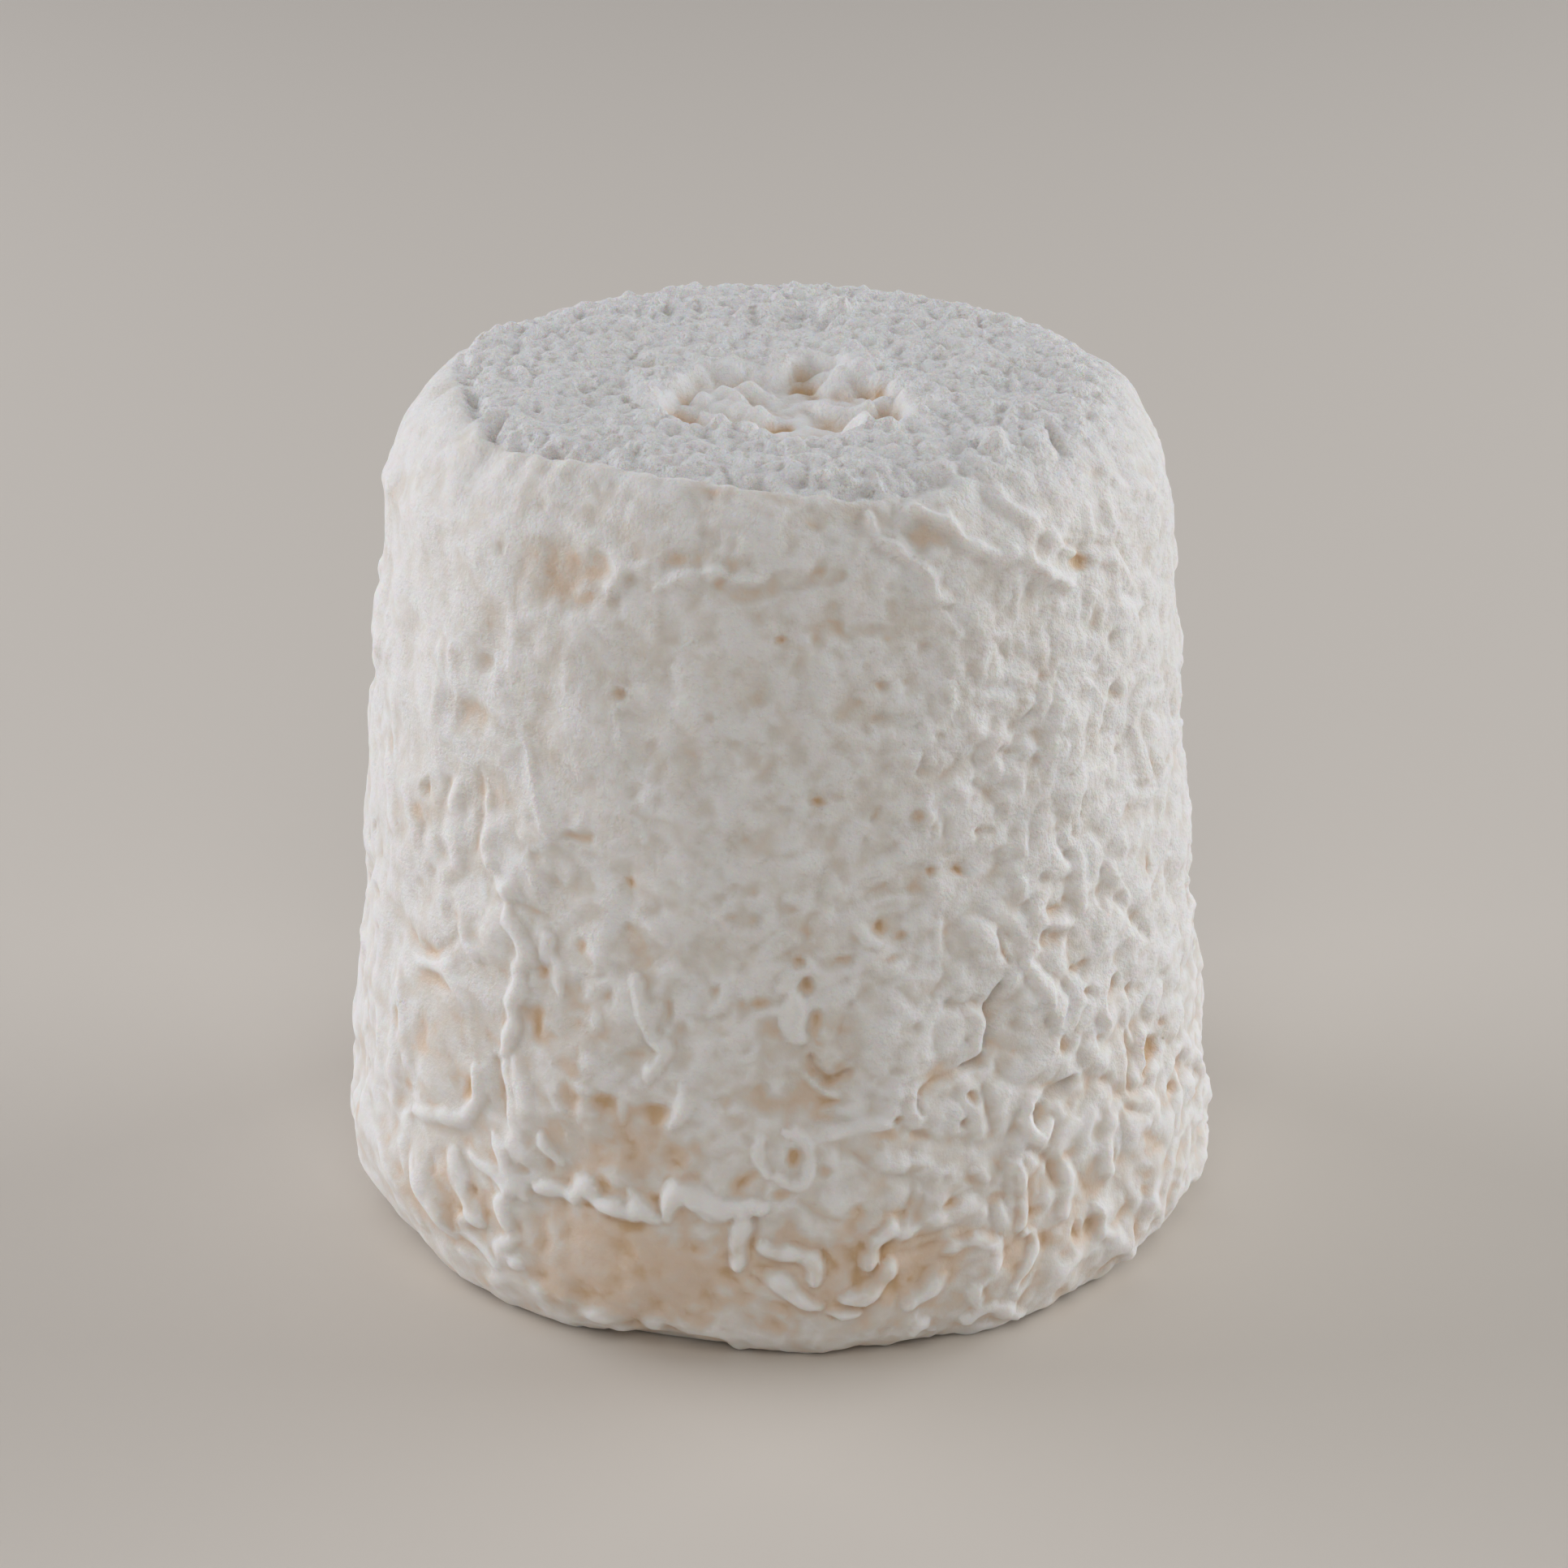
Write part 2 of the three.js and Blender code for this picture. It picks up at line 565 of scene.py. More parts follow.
def strokes(*rows: tuple) -> tuple[Stroke, ...]:
    """Makes a stroke of each row: its section, width and rise, then its points in pairs."""
    return tuple(Stroke(tuple(zip(row[3::2], row[4::2])), row[1], row[2], row[0]) for row in rows)


def dents(*rows: tuple[float, ...]) -> tuple[Dent, ...]:
    """Makes a dent of each row: the two numbers of its place, then the rest as Dent has them."""
    return tuple(Dent(row[:2], *row[2:]) for row in rows)


# ---------------------------------------------------------------- listed features of the side

WORM, FOLD, CREST, GROOVE, STRIP = Section

# Lower left: cords and worms that crowd round the foot.
LOWER_LEFT = strokes(
    (WORM, 1.3, 0.7, -42.4, 18.4, -42, 17.1, -42.4, 16, -43.5, 14.9, -46.3, 13.8, -50, 13.3,
     -55, 12.7),
    (FOLD, 2.2, 0.6, -35.3, 20, -34.8, 18.1, -34.6, 15.8, -35, 14, -34.1, 13),
    (WORM, 1.0, 0.4, -37.5, 19.6, -37.6, 18.6, -37.1, 17.6, -36.3, 16.2, -35.8, 15.2),
    (GROOVE, 0.9, 0.5, -39.3, 19.5, -38.4, 18.3, -37.8, 17, -36.9, 15.5),
    (WORM, 1.1, 0.55, -39, 14.2, -38, 13.3, -37, 12.6, -36.5, 11.7, -35, 11.1, -33.9, 10.2),
    (WORM, 1.2, 0.6, -43, 11.9, -41, 11.6, -39, 11.3, -37, 10.7, -35.6, 10.4),
    (WORM, 1.2, 0.6, -36.2, 10.2, -37.4, 9.3, -37.3, 8.5, -36.2, 7.8, -34.7, 7.1),
    (WORM, 1.2, 0.55, -35.4, 6.9, -37.2, 6.4, -37.4, 5.8, -36.2, 5.2, -34.4, 5.3),
    (WORM, 1.7, 0.6, -46.2, 11.6, -46, 10.6, -45, 9.8, -43, 8.8, -41.8, 8.1, -41, 7.4),
    (WORM, 1.1, 0.55, -40.4, 7.2, -42.4, 7.4, -44.2, 6.8, -44.6, 6.1, -42.4, 5.8, -40, 5.3,
     -37.9, 4.6),
    (GROOVE, 1.0, 0.45, -50.8, 10.4, -48.5, 8.9, -46, 8, -44, 7.4),
    (FOLD, 2.0, 0.6, -52.5, 9.6, -50.6, 8.2, -48.6, 6.9, -46.6, 6.3),
    (WORM, 1.3, 0.5, -54.5, 9.4, -53, 8.1, -51.5, 7.2, -50.2, 6.8, -49.3, 6, -47.4, 5.6,
     -45.2, 5.6),
    (FOLD, 1.5, 0.5, -67, 17.5, -66.4, 14.6, -67.4, 11.4),
    (FOLD, 1.5, 0.5, -61.4, 17, -60.6, 14.2, -61.6, 11.2),
    (FOLD, 1.4, 0.5, -56.6, 12.2, -57.4, 10, -55.6, 8),
    (WORM, 0.9, 0.45, -31, 15.4, -30.8, 14.6, -29.8, 13.9, -28.9, 13.4),
    (FOLD, 1.4, 0.5, -61.3, 21.6, -59.2, 19.3, -58.2, 17.2, -56.8, 15.7),
    (FOLD, 1.6, 0.5, -64, 8.4, -60.4, 7, -57, 5.6, -53, 4.4),
    (FOLD, 1.6, 0.35, -34, 3.9, -31, 3.7, -28, 3.6),
)

# The worm row that crosses the lower front, and what hangs from it.
WORM_ROW = strokes(
    (WORM, 1.5, 0.7, -31.8, 11.1, -29.5, 11.3, -27.4, 11.5, -26, 12, -25, 12.3, -23.8, 12,
     -22.2, 11.5, -20.4, 11, -18.4, 10.6),
    (WORM, 1.3, 0.6, -18.8, 12.5, -17.6, 11.8, -16.4, 11, -15.2, 10.8),
    (WORM, 1.5, 0.7, -14, 11, -13.8, 12.2, -13, 13, -11.6, 13.1, -10, 12.8, -8, 12.4, -6, 12.1,
     -4, 12.2, -1.9, 12.3),
    (WORM, 1.3, 0.35, -10.5, 12.2, -8.8, 11.8, -6.5, 11.6),
    (WORM, 1.4, 0.75, -4.3, 11.8, -4.5, 10.9, -4.8, 9.8, -5.1, 8.7, -5.3, 7.9),
    (GROOVE, 0.8, 0.3, -3, 11.6, -3.1, 10.4, -3.4, 9.2),
    (CREST, 0.9, 0.3, -25.5, 18.2, -25.8, 16.9),
    (FOLD, 1.6, 0.3, -24.5, 18, -24.6, 16.5),
    (WORM, 0.9, 0.35, -20.1, 18.7, -20, 17.4),
    (WORM, 1.1, 0.45, -12.3, 20.5, -12.1, 18.8, -13.5, 17.6),
    (WORM, 0.9, 0.4, -2.1, 17.2, -2.6, 16.2, -2, 15, -1.4, 14.5),
)

# Bottom middle and right.
LOWER_RIGHT = strokes(
    (WORM, 1.35, 0.7, -2.3, 9.4, 0, 9, 2, 9, 3.5, 8.7, 4.4, 7.9, 4.3, 7),
    (WORM, 1.4, 0.65, -2.6, 7.4, -0.4, 7, 1, 6.6, 2, 5.9, 3.2, 5.3, 4.9, 5),
    (WORM, 1.35, 0.65, 13.9, 11.1, 13.5, 10.2, 12.1, 9.3, 11.4, 8.5, 11, 7.8),
    (WORM, 1.45, 0.65, 13.8, 7.9, 13.2, 7.1, 12.3, 6.5, 11, 5.8, 9.6, 5.5, 8, 5.5),
    (WORM, 0.8, 0.35, 6.2, 4.5, 8, 4.35, 10, 4.2),
    (GROOVE, 0.5, 0.3, 5.8, 4.2, 7, 3.8),
    (FOLD, 1.3, 0.35, 15.4, 9.6, 17.4, 10.2, 19, 10.6, 20.8, 10.7),
    (CREST, 0.6, 0.3, 19.9, 13.7, 21.4, 13.8, 22.7, 13.3),
    (CREST, 0.9, 0.35, 24.8, 13.4, 26, 13.2, 27.2, 12.5),
    (WORM, 1.0, 0.35, 21.1, 8, 23.6, 8.4, 26, 8.5, 28, 7.9, 28, 7, 27, 6.2),
    (WORM, 1.1, 0.35, 24.8, 5.2, 25.6, 3.4),
    (WORM, 0.9, 0.35, 0.6, 17.6, 2.6, 17.4, 3.9, 16, 3.4, 14.4, 1.6, 13.9, -0.2, 14.5),
    (GROOVE, 1.5, 1.2, 41.2, 17.7, 39.5, 17.4, 37.7, 16.9, 36, 16.2, 35.2, 15.4),
    (WORM, 1.1, 0.5, 33.4, 17, 33.2, 15.8, 34, 14.9, 35.4, 14.6, 37, 15.2),
    (WORM, 0.9, 0.5, 31, 13.3, 31.9, 12.9, 32.1, 12, 32.2, 10.3, 32, 9.2, 31, 8.5),
    (WORM, 0.9, 0.5, 32, 8, 33.4, 7.9, 33.6, 6.9, 32.7, 6, 31.3, 5.1, 30.2, 4.2),
    (GROOVE, 1.2, 0.4, 33, 14, 36.5, 12.6, 37.8, 11),
    (CREST, 0.6, 0.35, 44.6, 8, 46, 6.6, 45.6, 5),
    (GROOVE, 1.1, 0.5, 53.2, 18.8, 53.5, 16.6, 52.5, 15.7, 53, 14.6, 55.4, 14.2, 57, 14.2),
    (CREST, 1.0, 0.35, 56.4, 18.2, 56.2, 16.4, 57.4, 15, 60, 14.8),
    (FOLD, 1.6, 0.45, 47, 5, 51, 3.2, 54, 1.6),
    (FOLD, 1.6, 0.45, 55, 6, 59, 4, 62, 2),
    (WORM, 1.0, 0.35, 17.4, 2, 18.4, 2.6, 20.4, 1.6),
    (FOLD, 1.6, 0.45, 36, 3.4, 39, 4.6, 42.6, 4.2),
    (FOLD, 1.5, 0.45, 38.6, 12.4, 39.4, 10.2, 38.6, 8.2),
    (FOLD, 1.6, 0.45, 47.4, 14, 46.6, 11.8, 47.4, 9.6),
    (WORM, 1.3, 0.45, 24.4, 2.2, 27.6, 3, 30.4, 2.2, 33, 1.4),
    (FOLD, 1.4, 0.45, 16.2, 4.4, 18.6, 5.2, 20.6, 6.4),
)

# Middle left: the long ridge, the folds beside it and the peach creases further round.
MIDDLE_LEFT = strokes(
    (WORM, 1.4, 0.75, -38.2, 30.2, -37.9, 29.6, -36.6, 28.9, -35.5, 28.3, -34.9, 27.5,
     -35.2, 26.6, -35.6, 25.5, -36.1, 24.4, -36.4, 23.5, -36.7, 22.5, -36.9, 21.6, -37.5, 20.7,
     -38, 20.1),
    (GROOVE, 0.5, 0.35, -37.8, 30.9, -34.6, 30.6, -32.3, 30.3, -30, 30),
    (WORM, 1.3, 0.5, -31.8, 29, -31.5, 27.9, -30.8, 27.1, -29.8, 26.3, -29.2, 25.6),
    (FOLD, 1.2, 0.45, -41.8, 32.9, -40.4, 31.9, -39.1, 31.4, -37.8, 30.9),
    (CREST, 0.8, 0.3, -34.6, 33.9, -34.4, 33.1, -33.5, 32.6),
    (CREST, 0.9, 0.35, -48, 27.8, -46.3, 27.2, -44.8, 26.6, -43.2, 26),
    (GROOVE, 1.0, 0.55, -59.6, 25, -57.5, 24.3, -54, 24.4, -50.8, 25.3, -48.4, 26.2, -47.3, 27.2,
     -48, 28.2),
    (WORM, 1.1, 0.45, -56, 23.4, -53.5, 23.7, -51, 24.1, -48, 25),
    (FOLD, 1.4, 0.3, -48.8, 23.8, -46, 22.9, -44.3, 22.4),
    (FOLD, 1.6, 0.3, -24.5, 28.6, -22, 29),
    (GROOVE, 0.8, 0.25, -25.9, 27.1, -24.1, 27.1, -23, 27.4),
    (CREST, 0.6, 0.2, -28.7, 20, -26.8, 19.7, -25.4, 19.4, -23.4, 19.1),
    (GROOVE, 1.5, 0.45, -45, 38.6, -44.8, 37.2, -44.4, 36, -44.2, 34.8, -45.2, 33.4),
    (FOLD, 1.5, 0.5, -43.2, 37, -43.2, 36, -42.6, 34.8, -43.4, 33.7, -42.2, 32.7),
    (FOLD, 2.0, 0.45, -48.6, 38.4, -49.8, 36, -50.8, 34.8, -49.8, 33.2, -49, 31.6),
)

# Middle: sausages of mould, and the creases between them.
MIDDLE = strokes(
    (WORM, 1.2, 0.5, -18.8, 27.6, -17.9, 26.8, -17.5, 25.9, -17, 25, -16.6, 24.1, -15.9, 23.3,
     -14.6, 22.8, -15.3, 22, -16.5, 21.3, -16.8, 20.6),
    (FOLD, 1.2, 0.3, -16.9, 31.3, -16, 30.9, -14.7, 30.2),
    (GROOVE, 1.2, 0.3, -14.4, 26, -14, 24.6, -12.6, 24.2, -12.2, 24.9),
    (GROOVE, 0.8, 0.3, -11.6, 25.4, -9, 25.2, -7.2, 25.5),
    (CREST, 1.0, 0.2, -8.4, 31.9, -6.4, 33.2, -6, 33.6),
    (WORM, 1.3, 0.4, 0.4, 27.4, 1.7, 28, 3.6, 28.5),
    (CREST, 0.7, 0.3, 3.9, 29.5, 4.8, 28.6),
    (WORM, 1.8, 0.55, 2, 27, 1.7, 26.2, 1.6, 25.3, 2.2, 24.4, 3, 24),
    (CREST, 0.9, 0.25, -21.3, 20.3, -20.6, 21.1),
    (CREST, 0.9, 0.25, -2.7, 23.3, -4.4, 22.6),
    (GROOVE, 1.1, 0.6, 4.3, 22.6, 4.7, 21.7, 6.1, 20.9, 7.4, 20.9, 9.1, 21.4),
    (CREST, 0.9, 0.35, 3.5, 21.3, 5.3, 20.4, 7.4, 19.8),
    (FOLD, 1.1, 0.35, 6.6, 17.3, 9.4, 17.6, 11, 17.9, 13.1, 18.1, 14.2, 18.5, 14.9, 19.8),
    (GROOVE, 1.0, 0.4, 16.8, 16.9, 18.9, 16.4),
    (GROOVE, 0.8, 0.45, 19.9, 20.2, 18.4, 19.7, 17.8, 18.9, 18.4, 18.1),
    (CREST, 0.7, 0.3, 17.3, 19.7, 17.1, 18.7, 18, 17.7),
    (FOLD, 1.1, 0.4, 25, 25, 26.5, 24.1, 26.7, 23.1, 26.3, 21.8),
    (GROOVE, 0.9, 0.3, 26.7, 20.9, 23.1, 20.4, 20, 20.2),
    (GROOVE, 1.25, 1.0, 30.3, 25.9, 29.4, 25, 28.5, 24.3, 28.9, 23.3, 29, 22.2, 28, 21.2,
     26.5, 20.7, 24.4, 20.5),
    (GROOVE, 0.7, 0.55, 29.7, 29.7, 30.1, 28.9, 30.5, 28.2, 31.6, 27.4),
    (CREST, 0.6, 0.2, 21.6, 32, 21.3, 30.4, 21.1, 28.8, 21, 27.2),
    (WORM, 1.2, 0.3, 10.4, 31.5, 11.3, 30.8, 12.6, 30.4),
    (CREST, 0.8, 0.25, 12.4, 22.3, 13.4, 21.4),
)

# Middle right: lumps that press against each other.
MIDDLE_RIGHT = strokes(
    (GROOVE, 0.8, 0.4, 41.8, 25.3, 44.7, 25.6),
    (GROOVE, 1.0, 0.45, 50.8, 23.3, 48.8, 22.6, 48.2, 21.5),
    (WORM, 0.8, 0.4, 50.5, 24, 47.9, 23, 46.9, 21.6, 47.8, 20.4),
    (GROOVE, 1.5, 0.5, 51.5, 29, 53.5, 28, 56.5, 26.2, 58.5, 25),
    (FOLD, 1.4, 0.4, 44.3, 33, 44.4, 31, 44, 29.4),
    (WORM, 1.3, 0.45, 33.8, 27.1, 36.3, 25.5, 37.1, 24),
    (FOLD, 1.3, 0.35, 35.4, 30.6, 38, 29.2, 41.5, 28.6),
    (GROOVE, 0.8, 0.35, 27, 36.8, 29.6, 36.7),
    (CREST, 0.7, 0.25, 44.4, 37, 44.1, 35.8, 44.4, 34.8),
)

# The quieter upper band, and the drape over the shoulder.
UPPER = strokes(
    (FOLD, 1.3, 0.35, -23.9, 52.6, -22.8, 53.5, -21, 54.6, -18.6, 54.9),
    (GROOVE, 1.5, 0.14, -33.4, 54.6, -33, 53.6, -32, 52.6, -30.4, 51.8, -28.4, 51.8, -26.6, 52.4),
    (CREST, 0.9, 0.5, -17, 53.6, -15.4, 54, -13.3, 54.5, -10, 54.9, -8, 55, -6.4, 54.8,
     -4.4, 54.5, -2.5, 54.6),
    (STRIP, 1.3, 0.24, -7.8, 54.2, -5.2, 53.8, -3, 53.8, -0.6, 54.2, 2.4, 54.6, 5.4, 54.7,
     8.8, 54.8),
    (STRIP, 1.5, 0.14, 7.4, 53, 7.7, 52, 6.8, 51.3, 4.2, 51.1),
    (STRIP, 1.2, 0.14, 8.2, 51.5, 10.4, 51.1, 13, 51.1, 16, 50.9),
    (GROOVE, 0.4, 0.12, -2.8, 52.4, -2.4, 52, -1.9, 51.7),
    (FOLD, 1.1, 0.45, -53.3, 46.6, -53.6, 44.6, -53.9, 42.8, -54.6, 40.8),
    (FOLD, 1.2, 0.45, -50.9, 46.4, -50.3, 45, -49.2, 43.9, -49.4, 43, -50, 41.8),
    (FOLD, 1.3, 0.3, -54.5, 40.4, -51.5, 40.1, -48, 40.3),
    (CREST, 0.6, 0.22, -42.8, 47, -42.2, 46.2, -42, 45.2, -41.9, 44.4),
    (FOLD, 1.3, 0.25, -40, 50.6, -39.2, 49.2, -39, 47.4, -39.6, 46),
    (CREST, 0.6, 0.18, -21.8, 45.7, -22.6, 45, -22, 44.6, -21.3, 43.5, -20.6, 42.2),
    (CREST, 0.7, 0.35, -36.3, 41.8, -35.3, 40.4, -34.2, 38.9, -33.6, 37.6, -32.5, 36.4, -31, 35.9),
    (CREST, 0.6, 0.22, -30.8, 36.2, -29, 36.8, -27.1, 37.2, -26.4, 38.1),
    (CREST, 0.9, 0.3, -31, 35.9, -33.3, 35, -35.3, 34.6, -35.6, 33.4),
    (FOLD, 1.3, 0.2, -38.1, 41.6, -39.6, 40.8, -40.9, 39.9),
    (CREST, 1.1, 0.5, 13.5, 57.9, 14, 57.2, 14.8, 56.5, 16.6, 56.2, 18.4, 55.4, 19.6, 54.8,
     21.2, 54.2, 21.5, 53, 23.6, 52.6),
    (GROOVE, 0.5, 0.2, 15, 57, 16.8, 56.6, 18.4, 55.9),
    (FOLD, 1.3, 0.6, 20, 57.9, 24, 57, 28.2, 55.6, 30.8, 55, 34, 54.7, 36, 54.3, 38, 53.6, 40, 53,
     42, 52.4, 45, 51.5),
    (FOLD, 1.2, 0.5, 33.6, 58, 37.8, 56.7, 40.6, 55.6, 42.8, 54.6, 44.8, 54, 46.4, 53.6),
    (GROOVE, 1.0, 0.3, 44.4, 54.6, 47, 53.9, 50.2, 53.6, 53.4, 53.4, 57, 52.9),
    (FOLD, 1.3, 0.35, 51, 52.5, 54.8, 52.2, 57, 51.2, 58.6, 50),
    (GROOVE, 0.7, 0.3, 56.4, 52.8, 58.4, 51.8, 60.4, 50.2),
    (FOLD, 1.6, 0.3, 60, 56.5, 66, 55.4, 72, 53.6),
    (CREST, 0.7, 0.2, 34.6, 53.4, 34.4, 52, 34.6, 50.4),
    (GROOVE, 0.8, 0.3, 30, 49.8, 31.4, 49, 33, 48),
    (CREST, 0.8, 0.18, 23, 47.3, 23.8, 46.2, 23.6, 45.2),
    (CREST, 0.8, 0.25, 12.3, 44.9, 13.3, 44.2),
    (FOLD, 1.6, 0.4, 27.6, 43.8, 29.8, 42.9, 33, 42),
    (FOLD, 1.4, 0.35, 30.4, 40.8, 32.6, 40, 34.4, 39.2),
    (GROOVE, 0.8, 0.35, 19.6, 43, 19.3, 42.3, 18.6, 41.4),
    (GROOVE, 0.7, 0.3, 14.2, 40, 13.2, 39.2, 12.4, 38.5),
    (GROOVE, 0.7, 0.25, 21.4, 38.6, 20.6, 37.8, 20.2, 37),
    (GROOVE, 0.6, 0.35, 14.2, 58.9, 15.6, 58.7),
    (GROOVE, 0.7, 0.4, 21.4, 58.5, 22.8, 58.7),
)

